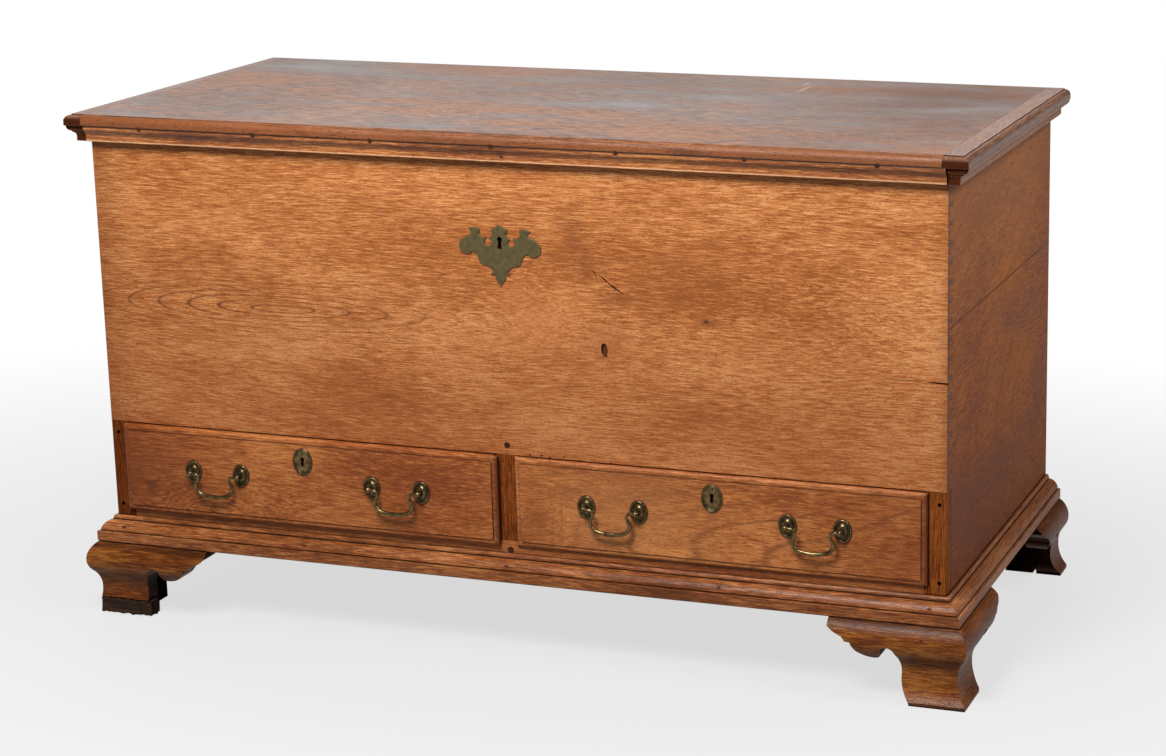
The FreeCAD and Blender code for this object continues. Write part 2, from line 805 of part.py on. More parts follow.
def batwing():
    """Right half of the chest escutcheon, from the top point to the bottom one, as shares of
    its half width across and up: pierced crest, ear, round wing, shoulder and pendant."""
    half = [(0, 0.71, 0.1), (0.12, 0.635, 0.1), (0.19, 0.60, 0.1), (0.205, 0.545), (0.115, 0.515),
            (0.18, 0.45, 0.15), (0.26, 0.388, 0.1), (0.19, 0.32), (0.385, 0.30, -0.95), (0.325, 0.41),
            (0.42, 0.405, 0.05), (0.53, 0.49, -0.2), (0.485, 0.585, 0.2), (0.59, 0.63, 0.25),
            (0.773, 0.59, 0.15), (0.695, 0.535, -0.1), (0.72, 0.46, -0.2), (0.92, 0.335, 0.12),
            (0.925, 0.035, 0.62), (0.75, 0.012, 0.25), (0.69, 0.065), (0.62, 0.05),
            (0.525, -0.13, -0.12), (0.46, -0.215, 0.22), (0.325, -0.245, 0.1), (0.22, -0.32, -0.15),
            (0.185, -0.39, -0.2), (0.24, -0.45, 0.1), (0.12, -0.43), (0.125, -0.54, 0.15), (0, -0.71)]
    return half


def chest_escutcheon():
    """A flat cut plate, pinned over the chest's keyhole."""
    wide, middle = size["escutcheon_half_width"], size["escutcheon_height"]
    right = batwing()
    path = [(wide * step[0], middle + wide * step[1]) + tuple(step[2:]) for step in right]
    left = list(reversed(right[1:-1]))
    bulges = [step[2:] for step in reversed(right[1:])]
    for step, bulge in zip(left, bulges):
        path.append((wide * -step[0], middle + wide * step[1]) + tuple(bulge))
    body = new_body()
    pad(body, add_sketch(body, "XZ", path), size["escutcheon_thickness"])
    keep(cut(body, chest_keyhole(-size["escutcheon_thickness"], size["escutcheon_thickness"])),
         "chest_escutcheon")


def escutcheon_nails():
    """Three short brass nails hold the bat-wing plate."""
    wide, middle = size["escutcheon_half_width"], size["escutcheon_height"]
    nails = []
    for across, up in ((-0.79, 0.2), (0.79, 0.2), (0, -0.57)):
        front = -size["escutcheon_thickness"]
        nails.append(fuse(rod(wide * across, front, middle + wide * up, size["nail_radius"] * 1.3, 0.5, "-y"),
                          rod(wide * across, size["lap_thickness"], middle + wide * up,
                              size["nail_radius"] * 0.7, size["lap_thickness"] - front, "-y")))
    keep(group(*nails), "escutcheon_nails")


chest_bolt_low = case_top - size["keeper_drop"] + 5
chest_lock_depth = front_back + size["chest_lock_thickness"]
chest_lock_middle = front_back + size["chest_lock_thickness"] / 2


def bolt_limits(x, z, clearance):
    half = size["bolt_thickness"] / 2 + clearance
    return ((x[0] - clearance, x[1] + clearance), (chest_lock_middle - half, chest_lock_middle + half),
            (z[0] - clearance, z[1] + clearance))


def chest_lock():
    """A box lock on the inside of the front; its bolt shoots sideways through the lid's keeper."""
    half = size["chest_lock_width"] / 2
    low = case_top - size["chest_lock_height"]
    case = box((-half, half), (front_back, chest_lock_depth), (low, case_top))
    slot_half = size["keeper_thickness"] / 2 + 1.5
    slot_deep = size["keeper_width"] / 2 + 1.2
    slot = box((-slot_half, slot_half), (chest_lock_middle - slot_deep, chest_lock_middle + slot_deep),
               (case_top - size["keeper_drop"] - 2, case_top))
    x = (-size["chest_bolt_length"] - 6, as_size(-6))
    z = (chest_bolt_low, chest_bolt_low + size["chest_bolt_height"])
    travel = (x[0], x[1] + size["chest_bolt_travel"])
    channel = box(*bolt_limits(travel, z, size["bolt_clearance"]))
    key_space = box((-size["keyhole_length"] / 2, size["keyhole_length"] / 2),
                    (front_back, chest_lock_depth - size["lock_wall"]),
                    (key_height - size["keyhole_length"], key_height + size["keyhole_length"]))
    keep(cut(case, slot, channel, key_space), "chest_lock")
    keep(box(*bolt_limits(x, z, 0)), "chest_lock_bolt")
    eye = box(*bolt_limits((as_size(-size["keeper_thickness"]), as_size(size["keeper_thickness"])), z,
                           size["bolt_clearance"] * 2))
    across = size["keeper_thickness"] / 2
    deep = size["keeper_width"] / 2
    tang = box((-across, across), (chest_lock_middle - deep, chest_lock_middle + deep),
               (lid_bottom - size["keeper_drop"], lid_bottom))
    keep(fuse(cut(tang, eye), keeper_plate()), "lid_lock_keeper")


def keeper_plate():
    """The keeper's plate, let into the lid's underside."""
    half, deep = size["keeper_width"] * 2, size["keeper_width"] / 2
    return box((-half, half), (chest_lock_middle - deep, chest_lock_middle + deep),
               (lid_bottom, lid_bottom + 2))


# ---------------------------------------------------------------- the drawers

floor_bottom = opening_top + 4
opening_peg_height = opening_top + size["muntin_lap"] * 0.55
rail_peg_height = rail_top - size["muntin_lap"] * 0.55
block_top = opening_top - size["drawer_top_gap"]
block_bottom = rail_top + size["runner_clearance"]
drawer_half = (stile_edge - muntin_edge) / 2 - size["drawer_gap"]
# from the front's face to the drawer's back, with room left before the back boards
drawer_length = back_face + size["face_proud"] - size["drawer_back_room"]
drawer_centre = (stile_edge + muntin_edge) / 2
bolt_depth = size["drawer_front_thickness"] - size["face_proud"] - size["drawer_lock_thickness"] / 2


def bolt_mortises():
    """Pockets in the front board's lower edge for the drawer bolts, long enough for a
    drawer that isn't quite home."""
    half_bolt = size["bolt_thickness"] / 2
    half_wide = size["drawer_bolt_width"] / 2 + 1
    depth = (bolt_depth - half_bolt - size["left_drawer_ajar"] - 0.5, bolt_depth + half_bolt + 0.5)
    high = (opening_top, opening_top + size["drawer_bolt_travel"])
    pockets = []
    for side, shift in ((-1, size["left_drawer_shift"]), (1, 0)):
        centre = drawer_centre * side + size["drawer_lock_offset"] - shift
        pockets.append(box((centre - half_wide, centre + half_wide), depth, high))
    return pockets


def lipped_front(centre, proud):
    """A drawer front's solid: the block in the opening, the lip over the case, and the raised
    field inside the thumbnail moulding."""
    lip_back = -size["lip_clearance"] - proud
    face = -size["face_proud"] - proud
    step = face + size["thumbnail_step"]
    back = size["drawer_front_thickness"] - size["face_proud"] - proud
    lip = drawer_half + size["drawer_gap"] + size["lip_overlap"]
    lip_bottom = rail_top - size["lip_overlap"]
    block = box((centre - drawer_half, centre + drawer_half), (lip_back, back), (block_bottom, block_top))
    plate = new_body(y=lip_back)
    outline = [(centre - lip, lip_bottom), (centre + lip, lip_bottom), (centre + lip, block_top),
               (centre - lip, block_top)]
    slab = pad(plate, add_sketch(plate, "XZ", outline), lip_back - step)
    fillet = plate.newObject("PartDesign::Fillet", "thumbnail")
    fillet.Base = (slab, rim_edges(slab.Shape, step - lip_back))
    bind(fillet, "Radius", size["thumbnail_round"])
    document.recompute()
    inset = size["thumbnail_width"]
    field = box((centre - lip + inset, centre + lip - inset), (face, step),
                (lip_bottom + inset, block_top - inset))
    return fuse(block, plate, field), back


def rim_edges(shape, depth):
    """The names of the edges that lie wholly in the plane at a depth."""
    names = []
    for index, edge in enumerate(shape.Edges, 1):
        if all(abs(vertex.Point.y - depth.value) < 1e-6 for vertex in edge.Vertexes):
            names.append("Edge%d" % index)
    return names


def drawer(side, centre, proud, handles):
    """A whole drawer: dovetailed box, lock, escutcheon and two bail handles."""
    solid, back = lipped_front(centre, proud)
    thick = size["drawer_side_thickness"]
    side_top = block_top - size["drawer_side_drop"]
    tip = back - (size["drawer_front_thickness"] - size["drawer_lap"])
    end = back + drawer_length - size["drawer_front_thickness"]
    left_face, right_face = centre - drawer_half, centre + drawer_half
    left_x, right_x = (left_face, left_face + thick), (right_face - thick, right_face)
    height = (block_bottom, side_top)
    bottom = drawer_bottom(centre, thick, back, end)
    holes = []
    for x in handles:
        for post_side in (-1, 1):
            holes.append(rod(x + size["handle_boring"] / 2 * post_side, back, size["handle_height"],
                             size["post_stem_radius"], size["drawer_front_thickness"], "-y"))
    lock_x = centre + size["drawer_lock_offset"]
    lock_stock, lock, bolt = drawer_lock(lock_x, back)
    tails_of = {}
    for name, x in (("left", left_x), ("right", right_x)):
        tails_of[name] = tails(x, tip, back, height, DRAWER_TAILS, size["drawer_pin_width"],
                               size["dovetail_flare"])
    entry = keyhole(lock_x, size["drawer_key_height"], -size["face_proud"] - proud,
                    size["drawer_front_thickness"], size["drawer_keyhole_radius"],
                    size["drawer_keyhole_slot"], size["drawer_keyhole_length"])
    keep(cut(solid, *tails_of["left"], *tails_of["right"], bottom, lock_stock, entry, *holes),
         side + "_drawer_front")
    boards = []
    for name, x in (("left", left_x), ("right", right_x)):
        boards.append(cut(fuse(box(x, (back, end), height), *tails_of[name]), bottom))
    keep(group(*boards), side + "_drawer_sides")
    keep(box((left_x[1], right_x[0]), (end - thick, end), (bottom_top, side_top)), side + "_drawer_back")
    keep(bottom, side + "_drawer_bottom")
    keep(lock, side + "_drawer_lock")
    keep(bolt, side + "_drawer_bolt")
    face = -size["face_proud"] - proud
    keep(oval_escutcheon(lock_x, face), side + "_drawer_escutcheon")
    drawer_handles(side, handles, face, back)


bottom_low = block_bottom + size["drawer_bottom_lift"]
bottom_top = bottom_low + size["drawer_bottom_thickness"]


def drawer_bottom(centre, thick, back, end):
    """A thin board that slides in grooves in the front and sides."""
    reach = drawer_half - thick + size["groove_depth"]
    return box((centre - reach, centre + reach), (back - size["groove_depth"], end), (bottom_low, bottom_top))


def drawer_lock(x, back):
    """A box lock let into the front's back; its bolt shoots up into the front board."""
    half = size["drawer_lock_width"] / 2
    deep = back - size["drawer_lock_thickness"]
    middle = back - size["drawer_lock_thickness"] / 2
    low = block_top - size["drawer_lock_height"]
    stock = box((x - half, x + half), (deep, back), (low, block_top))
    case = box((x - half, x + half), (deep, back), (low, block_top))
    bolt_half = size["drawer_bolt_width"] / 2
    bolt_deep = size["bolt_thickness"] / 2
    gap = size["bolt_clearance"]
    bolt_low = block_top - size["drawer_lock_height"] / 2 + 4
    bolt = box((x - bolt_half, x + bolt_half), (middle - bolt_deep, middle + bolt_deep), (bolt_low, block_top))
    channel = box((x - bolt_half - gap, x + bolt_half + gap), (middle - bolt_deep - gap, middle + bolt_deep + gap),
                  (bolt_low - gap, block_top))
    key = size["drawer_key_height"]
    long = size["drawer_keyhole_length"] / 2 + 1
    key_space = box((x - long, x + long), (deep, back - size["lock_wall"]),
                    (key - long, key + long))
    return stock, cut(case, channel, key_space), bolt


def oval(x, z, wide, high):
    """An upright oval as four arcs."""
    a, b = wide / 2, high / 2
    return [(x, z + b), (x + a, z, 0.42), (x, z - b, 0.42), (x - a, z, 0.42), (x, z + b, 0.42)][1:]


def oval_plate(x, z, y, wide, high, thickness):
    body = new_body(y=y)
    pad(body, add_sketch(body, "XZ", oval(x, z, wide, high)), thickness)
    return body


def oval_escutcheon(x, face):
    """An oval plate with a raised rim, keyhole through it."""
    z, wide, high = size["drawer_key_height"], size["oval_width"], size["oval_height"]
    rim, rise = size["oval_rim"], size["oval_rim_rise"]
    whole = oval_plate(x, z, face, wide, high, size["oval_thickness"] + rise)
    hollow = oval_plate(x, z, face - size["oval_thickness"], wide - rim * 2, high - rim * 2, rise)
    entry = keyhole(x, z, face - size["oval_thickness"] - rise, size["oval_thickness"] + rise,
                    size["drawer_keyhole_radius"], size["drawer_keyhole_slot"], size["drawer_keyhole_length"])
    return cut(whole, hollow, entry)


# ---------------------------------------------------------------- the bail handles

def drawer_handles(side, handles, face, back):
    rosettes, posts = [], []
    for x in handles:
        for post_side in (-1, 1):
            post_x = x + size["handle_boring"] / 2 * post_side
            rosettes.append(rosette(post_x, face))
            posts += [post(post_x, face, back), nut(post_x, back)]
    keep(group(*rosettes), side + "_drawer_rosettes")
    keep(group(*posts), side + "_drawer_posts")
    for name, x in zip(("left", "right"), handles):
        bail("%s_drawer_%s_bail" % (side, name), x, face - size["post_reach"])


def rosette(x, face):
    """A dished oval plate between a post and the drawer."""
    z, wide, high = size["handle_height"], size["rosette_width"], size["rosette_height"]
    plate = oval_plate(x, z, face, wide, high, size["rosette_thickness"])
    dish_back = face - (size["rosette_thickness"] - size["rosette_dish"])
    dish = oval_plate(x, z, dish_back, wide * 0.8, high * 0.8, size["rosette_dish"])
    hole = rod(x, face, z, size["post_neck_radius"], size["rosette_thickness"], "-y")
    return cut(plate, dish, hole)


def post(x, face, back):
    """A ball-headed post: its stem goes through the front to a nut, and its head is bored
    across for the end of the bail."""
    z = size["handle_height"]
    pivot = face - size["post_reach"]
    stem_end = back + size["nut_thickness"] + 1
    stem = rod(x, stem_end, z, size["post_stem_radius"], stem_end - face, "-y")
    neck = rod(x, face, z, size["post_neck_radius"], size["post_reach"], "-y")
    head = ball(x, pivot, z, size["post_head_radius"])
    hole = rod(x - size["post_head_radius"], pivot, z, size["bail_end_radius"] + size["bail_clearance"],
               size["post_head_radius"] * 2, "x")
    return cut(fuse(stem, neck, head), hole)


def nut(x, back):
    z = size["handle_height"]
    whole = rod(x, back + size["nut_thickness"], z, size["nut_radius"], size["nut_thickness"], "-y")
    hole = rod(x, back + size["nut_thickness"], z, size["post_stem_radius"], size["nut_thickness"], "-y")
    return cut(whole, hole)


def bail(name, x, pivot):
    """A swan-neck bail: its ends turn in the posts, the necks curve in, the belly out, and it
    thickens towards the middle of its straight bar."""
    neck, belly, drop = size["bail_neck_half_width"], size["bail_belly_half_width"], size["bail_drop"]
    bend, corner = size["bail_bend_radius"], size["bail_corner_radius"]
    z = size["handle_height"]
    body = new_body(x=x, y=pivot, z=z)
    spine = empty_sketch(body, "XZ")
    swell = (belly - neck) / (drop - bend - corner)
    lean = (root(swell * swell + 1) - 1) / swell
    quarter = math.tan(math.pi / 8)
    add_outline(spine, [
        (0, -drop), (belly - corner, -drop), (belly, corner - drop, -quarter),
        ((belly + neck) / 2, (corner - drop - bend) / 2, -lean), (neck, -bend, lean),
        (neck + bend, 0, quarter)], closed=False)
    middle = empty_sketch(body, "YZ")
    add_circle(middle, 0, -drop, size["bail_middle_radius"])
    tip = empty_sketch(body, "YZ", neck + bend)
    add_circle(tip, 0, 0, size["bail_end_radius"])
    pipe = body.newObject("PartDesign::AdditivePipe", "pipe")
    pipe.Profile = middle
    pipe.Spine = spine
    pipe.Transformation = "Multisection"
    pipe.Sections = [tip]
    document.recompute()
    pin = rod(x + neck + bend, pivot, z, size["bail_end_radius"],
              size["handle_boring"] / 2 + size["post_head_radius"] * 0.6 - neck - bend, "x")
    half = fuse(body, pin)
    other = mirrored(half)
    bind(other, "Base.x", x)
    keep(fuse(half, other), name)


# ---------------------------------------------------------------- nails

def case_nails():
    """Wrought nails through the stiles into the sides, through the base moulding and through
    the bellies of the front feet."""
    nails = []
    opening = opening_top - case_bottom - size["base_height"]
    for side in (-1, 1):
        x = (half_width - size["side_thickness"] / 2) * side
        for share in STILE_NAIL_HEIGHTS:
            nails.append(nail(x, 0, case_bottom + size["base_height"] + opening * share))
    for share in (-0.97, -0.5, 0, 0.5, 0.97):
        nails.append(nail(half_width * share, -size["base_reach"] * 0.77,
                          case_bottom + size["base_height"] * 0.58))
    for share in (-0.96, 0.96):
        nails.append(nail(half_width * share, -size["foot_belly"] * 0.965, size["foot_height"] * 0.84))
    keep(group(*nails), "case_nails")


def nail(x, face, z):
    """A nail whose head lies just under the surface it was driven through."""
    head = rod(x, face + 2, z, size["nail_head_radius"], 2, "-y")
    shank = rod(x, face + size["nail_length"], z, size["nail_radius"], size["nail_length"] - 1, "-y")
    return fuse(head, shank)


# ---------------------------------------------------------------- the whole chest

def build():
    front_board()
    sides()
    keep(floor_board(), "chest_floor")
    back_boards()
    front_frame()
    runners()
    case_pegs()
    base_mouldings()
    feet()
    lid_boards()
    lid_mouldings()
    lid_plugs()
    hinges()
    chest_escutcheon()
    escutcheon_nails()
    chest_lock()
    drawer("left", -drawer_centre - size["left_drawer_shift"], size["left_drawer_ajar"],
           [-drawer_centre + size["left_drawer_left_handle"], -drawer_centre + size["left_drawer_right_handle"]])
    drawer("right", drawer_centre, as_size(0),
           [drawer_centre + size["right_drawer_left_handle"], drawer_centre + size["right_drawer_right_handle"]])
    case_nails()
    document.recompute()


def check():
    """Stops if any object failed, or if a sub-part isn't a sound solid."""
    for thing in document.Objects:
        if "Invalid" in thing.State or "Error" in thing.State:
            raise RuntimeError("failed: %s %s" % (thing.Label, thing.State))
    for node in nodes:
        if node.Shape.isNull() or not node.Shape.isValid() or not node.Shape.Solids:
            raise RuntimeError("no sound solid: " + node.Label)


def export():
    os.makedirs("parts", exist_ok=True)
    for node in nodes:
        node.Shape.exportStep("parts/%s.step" % node.Label)
    print("%d sub-parts written" % len(nodes))


build()
check()
export()
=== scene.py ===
import bmesh
import bpy
import json
import math
from mathutils import Matrix, Vector


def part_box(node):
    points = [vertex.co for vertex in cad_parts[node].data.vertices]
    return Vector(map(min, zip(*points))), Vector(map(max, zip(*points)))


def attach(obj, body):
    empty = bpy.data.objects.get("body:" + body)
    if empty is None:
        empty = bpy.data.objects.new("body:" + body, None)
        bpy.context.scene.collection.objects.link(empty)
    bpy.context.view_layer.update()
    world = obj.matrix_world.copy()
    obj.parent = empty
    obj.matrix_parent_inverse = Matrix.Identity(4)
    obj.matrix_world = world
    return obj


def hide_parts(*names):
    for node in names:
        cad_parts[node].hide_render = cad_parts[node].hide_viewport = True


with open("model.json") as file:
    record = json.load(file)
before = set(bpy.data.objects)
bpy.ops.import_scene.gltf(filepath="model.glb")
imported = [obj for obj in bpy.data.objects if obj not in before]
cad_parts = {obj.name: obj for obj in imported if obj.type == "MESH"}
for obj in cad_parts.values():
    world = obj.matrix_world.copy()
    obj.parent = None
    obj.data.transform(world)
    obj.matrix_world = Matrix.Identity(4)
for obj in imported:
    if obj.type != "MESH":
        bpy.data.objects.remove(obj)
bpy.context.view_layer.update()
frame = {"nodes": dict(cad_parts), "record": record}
nodes = frame["nodes"]
record = frame["record"]


# The front board: one wide flat-sawn walnut board, planed by hand, waxed and faded to a warm
# orange brown. A burl beside the lock has a dead knot and shakes in it, and the right end has
# split along the grain. Its arrises are worn round.

MM = 0.001
EASE = 0.8 * MM                                 # how far a worn arris is rounded
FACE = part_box("front_board")[0][1]              # the case's front face
STRIP_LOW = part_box("lid_front_moulding")[0][2]  # the foot of the moulding under the lid
PORE_LENGTH, PORE_WIDTH = 5 * MM, 0.8 * MM      # open pores, about twice as wide as real ones
FIBRE_LENGTH, FIBRE_WIDTH = 26 * MM, 1.7 * MM   # streaks of lighter and darker fibre
CLOUDS, DRIFTS, BLOTCHES, SPECKS = 2.6, 6.0, 9.0, 42.0      # patterns, in cells to the metre
STRETCH = (0.35, 1, 1)                          # patterns are drawn out along the grain
CLOUDY = 0.4                                    # how much the widest clouds change the tone
WANDER = 24 * MM                                # how far the grain drifts from straight
LEAN = 0.4                                      # how far the fibres lean over with the rings
SHADE_REACH, CREASE_REACH = 7 * MM, 2.6 * MM     # painted shade beside a neighbour, and deep in a corner
SPOT = 9 * MM                                   # a mark no wider than this keeps its place
ALONG, THROUGH = 9, 1                           # a mark of these sizes never fades that way
GRAIN_TURN = {"x": (0, 0, 0), "y": (0, 0, -math.pi / 2), "z": (0, math.pi / 2, 0)}
GRAIN_AXIS = {"x": (1, 0, 0), "y": (0, 1, 0), "z": (0, 0, 1)}


def linear(hex_colour):
    """An sRGB hex colour as linear RGBA."""
    channels = [int(hex_colour[i:i + 2], 16) / 255 for i in (0, 2, 4)]
    return tuple(c / 12.92 if c <= 0.04045 else ((c + 0.055) / 1.055) ** 2.4 for c in channels) + (1,)


def add(tree, kind, sockets=None, out=0, **settings):
    """Adds a node with its settings and sockets, linked or set, and returns one of its outputs."""
    node = tree.nodes.new(kind)
    for name, value in settings.items():
        setattr(node, name, value)
    for socket, value in (sockets or {}).items():
        if isinstance(value, bpy.types.NodeSocket):
            tree.links.new(value, node.inputs[socket])
        else:
            node.inputs[socket].default_value = value
    return node.outputs[out] if len(node.outputs) else node


def maths(tree, operation, *values):
    return add(tree, "ShaderNodeMath", dict(enumerate(values)), operation=operation)


def vectors(tree, operation, *values, out=0):
    return add(tree, "ShaderNodeVectorMath", dict(enumerate(values)), out=out, operation=operation)


def noise(tree, point, scale, detail, roughness=0.5, out="Fac"):
    return add(tree, "ShaderNodeTexNoise",
               {"Vector": point, "Scale": scale, "Detail": detail, "Roughness": roughness}, out=out)


def spread(tree, value, low, high, start=0.0, end=1.0):
    """Maps the span from low to high onto the one from start to end."""
    return add(tree, "ShaderNodeMapRange",
               {"Value": value, "From Min": low, "From Max": high, "To Min": start, "To Max": end})


def stepped(tree, value, *steps, ease="LINEAR"):
    """Runs a value through colour stops given as (place, colour or grey)."""
    colour = add(tree, "ShaderNodeValToRGB", {"Fac": value})
    ramp = colour.node.color_ramp
    ramp.interpolation = ease
    while len(ramp.elements) < len(steps):
        ramp.elements.new(0.5)
    for element, (place, tone) in zip(ramp.elements, steps):
        element.position = place
        element.color = tone if isinstance(tone, tuple) else (tone, tone, tone, 1)
    return colour


def mixed(tree, amount, under, over):
    """Lays one colour over another."""
    return add(tree, "ShaderNodeMix", {"Factor": amount, 6: under, 7: over}, out=2, data_type="RGBA")


def near(tree, point, centre, size):
    """Falls smoothly from one at a centre to nothing about a size away."""
    away = vectors(tree, "SUBTRACT", point, centre)
    away = vectors(tree, "DIVIDE", away, size)
    square = vectors(tree, "DOT_PRODUCT", away, away, out="Value")
    square = maths(tree, "MULTIPLY", square, -1.0)
    return maths(tree, "POWER", math.e, square)


def shut_in(tree, reach, low, high, most):
    """A mask for painted shade: rises from nothing in the open to its most where neighbours within reach shut
    a place in.
    """
    light = add(tree, "ShaderNodeAmbientOcclusion", {"Distance": reach}, out="AO", samples=8)
    return spread(tree, light, low, high, end=most)


def relief(tree, shader, height, strength, depth):
    """Fine unevenness in a surface."""
    bump = add(tree, "ShaderNodeBump", {"Height": height, "Strength": strength, "Distance": depth})
    tree.links.new(bump, shader.inputs["Normal"])


def new_material(name):
    material = bpy.data.materials.new(name)
    material.use_nodes = True
    tree = material.node_tree
    tree.nodes.clear()
    shader = add(tree, "ShaderNodeBsdfPrincipled").node
    add(tree, "ShaderNodeOutputMaterial", {"Surface": shader.outputs[0]})
    return material, tree, shader


def walnut(name, grain, tones, shift=(0, 0, 0), pith=(0.0, 0.25, 0.4), slope=0.05, spacing=9 * MM,
           rings=0.3, figure=None, burls=(), marks_and_shade=(), mottle=0.8, streaks=1.5, pores=0.5,
           rough=(0.34, 0.5), shine=0.2, ends=0.75, shade_paint=0.9):
    """Old waxed walnut. Tones go from the veins to the palest wood. Growth rings stand about a
    pith line near the board, streaks and open pores run along the grain, end grain is darker,
    and painted shade darkens it where neighbours shut it in. A stain or painted shade is (centre, size,
    colour, strength)."""
    vein, dark, mid, light = [linear(tone) for tone in tones]
    material, tree, shader = new_material(name)
    point = add(tree, "ShaderNodeTexCoord", out="Object")
    board = add(tree, "ShaderNodeMapping",
                {"Vector": point, "Rotation": GRAIN_TURN[grain], "Location": shift})

    # growth rings about the pith, which drift with the grain and bend round burls
    slow = vectors(tree, "MULTIPLY", board, STRETCH)
    drift = noise(tree, slow, DRIFTS, 1.5, out="Color")
    drift = vectors(tree, "SUBTRACT", drift, (0.5, 0.5, 0.5))
    drift = add(tree, "ShaderNodeVectorMath", {0: drift, "Scale": WANDER}, operation="SCALE")
    wavy = vectors(tree, "ADD", board, drift)
    heart = vectors(tree, "SUBTRACT", wavy, pith)
    heart = add(tree, "ShaderNodeMapping", {"Vector": heart, "Rotation": (0, 0, slope)})
    heart = vectors(tree, "MULTIPLY", heart, (0, 1, 1))
    radius = vectors(tree, "LENGTH", heart, out="Value")
    for centre, size, strength in burls:
        radius = maths(tree, "MULTIPLY_ADD", near(tree, wavy, centre, size), strength, radius)
    ring = maths(tree, "MULTIPLY", radius, 1 / spacing)
    ring = maths(tree, "FRACT", ring)
    ring = stepped(tree, ring, (0.0, 0.1), (0.25, 0.0), (0.78, 0.15), (0.92, 1.0), (1.0, 0.1), ease="EASE")
    if figure:
        there = near(tree, wavy, *figure)
    else:
        there = noise(tree, slow, BLOTCHES, 2.0)
        there = stepped(tree, there, (0.35, 0.1), (0.65, 1.0))
    ring = maths(tree, "MULTIPLY", ring, there)

    # fibres that follow the rings, open pores, and blotches and clouds of tone
    bent = maths(tree, "MULTIPLY", radius, LEAN)
    bent = add(tree, "ShaderNodeCombineXYZ", {"Y": bent})
    fibres = vectors(tree, "ADD", wavy, bent)
    streak = vectors(tree, "MULTIPLY", fibres, (1 / FIBRE_LENGTH, 1 / FIBRE_WIDTH, 1 / FIBRE_WIDTH))
    streak = noise(tree, streak, 1.0, 5.0, 0.68)
    pore = vectors(tree, "MULTIPLY", fibres, (1 / PORE_LENGTH, 1 / PORE_WIDTH, 1 / PORE_WIDTH))
    pore = noise(tree, pore, 1.0, 2.0)
    pore = stepped(tree, pore, (0.56, 0.0), (0.66, 1.0))
    blotch = noise(tree, slow, BLOTCHES, 6.0, 0.62)
    cloud = noise(tree, board, CLOUDS, 2.0)
    tone = 0.5 - (mottle + streaks + CLOUDY) / 2
    for pattern, amount in ((blotch, mottle), (streak, streaks), (cloud, CLOUDY)):
        tone = maths(tree, "MULTIPLY_ADD", pattern, amount, tone)
    colour = stepped(tree, tone, (0.3, dark), (0.5, mid), (0.7, light))

    # stains and painted shade, then veins, pores, specks, end grain and painted shade in corners and creases
    for centre, size, tint, strength in marks_and_shade:
        here = point
        if min(size) > SPOT:
            here = vectors(tree, "ADD", point, drift)
        here = maths(tree, "MULTIPLY", near(tree, here, centre, size), strength)
        colour = mixed(tree, here, colour, linear(tint))
    normal = add(tree, "ShaderNodeNewGeometry", out="Normal")
    normal = add(tree, "ShaderNodeVectorTransform", {0: normal}, vector_type="NORMAL",
                 convert_from="WORLD", convert_to="OBJECT")
    butt = vectors(tree, "DOT_PRODUCT", normal, GRAIN_AXIS[grain], out="Value")
    butt = maths(tree, "ABSOLUTE", butt)
    butt = spread(tree, butt, 0.6, 0.95, end=ends)
    # painted shade: darker where neighbours within reach shut a surface in, deeper in tight corners
    painted_shade = shut_in(tree, SHADE_REACH, 0.86, 0.42, shade_paint)
    crease = shut_in(tree, CREASE_REACH, 0.92, 0.66, shade_paint)
    painted_shade = maths(tree, "MAXIMUM", painted_shade, crease)
    speck = add(tree, "ShaderNodeTexVoronoi", {"Vector": board, "Scale": SPECKS}, out="Distance")
    speck = stepped(tree, speck, (0.04, 1.0), (0.08, 0.0))
    scarce = stepped(tree, cloud, (0.5, 0.0), (0.6, 0.8))
    speck = maths(tree, "MULTIPLY", speck, scarce)
    for pattern, amount in ((ring, rings), (pore, pores), (speck, 0.8), (butt, 1.0), (painted_shade, 1.0)):
        strength = maths(tree, "MULTIPLY", pattern, amount)
        colour = mixed(tree, strength, colour, vein)
    tree.links.new(colour, shader.inputs["Base Color"])

    # wax: duller where painted shade lies, none on end grain
    gloss = spread(tree, blotch, 0.3, 0.7, *rough)
    gloss = maths(tree, "MULTIPLY_ADD", painted_shade, 0.3, gloss)
    tree.links.new(gloss, shader.inputs["Roughness"])
    shader.inputs["IOR"].default_value = 1.45
    sheen = maths(tree, "MULTIPLY_ADD", butt, -shine, shine)
    tree.links.new(sheen, shader.inputs["Specular IOR Level"])
    height = maths(tree, "MULTIPLY_ADD", pore, -0.7, streak)
    relief(tree, shader, height, 0.3, 0.5 * MM)
    return material


def fit_out(piece, material, *stood_for):
    """Gives a piece its finish and lets it ride in place of the nodes it stands for."""
    piece.data.materials.clear()
    piece.data.materials.append(material)
    bodies = record["behaviour"]["bodies"]
    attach(piece, next(body for body in bodies if stood_for[0] in bodies[body]))
    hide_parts(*stood_for)


def new_piece(name, data):
    piece = bpy.data.objects.new(name, data)
    bpy.context.collection.objects.link(piece)
    return piece


def piece_of(name, form, corner=None):
    """A new piece from a bmesh, shaded smooth up to a corner angle, degrees, if that is given."""
    bmesh.ops.recalc_face_normals(form, faces=form.faces)
    mesh = bpy.data.meshes.new(name)
    form.to_mesh(mesh)
    form.free()
    if corner:
        mesh.shade_smooth()
        mesh.set_sharp_from_angle(angle=math.radians(corner))
    return new_piece(name, mesh)


def finish_mesh(piece):
    """Applies a piece's modifiers."""
    mesh = bpy.data.meshes.new_from_object(piece.evaluated_get(bpy.context.evaluated_depsgraph_get()))
    piece.modifiers.clear()
    piece.data = mesh


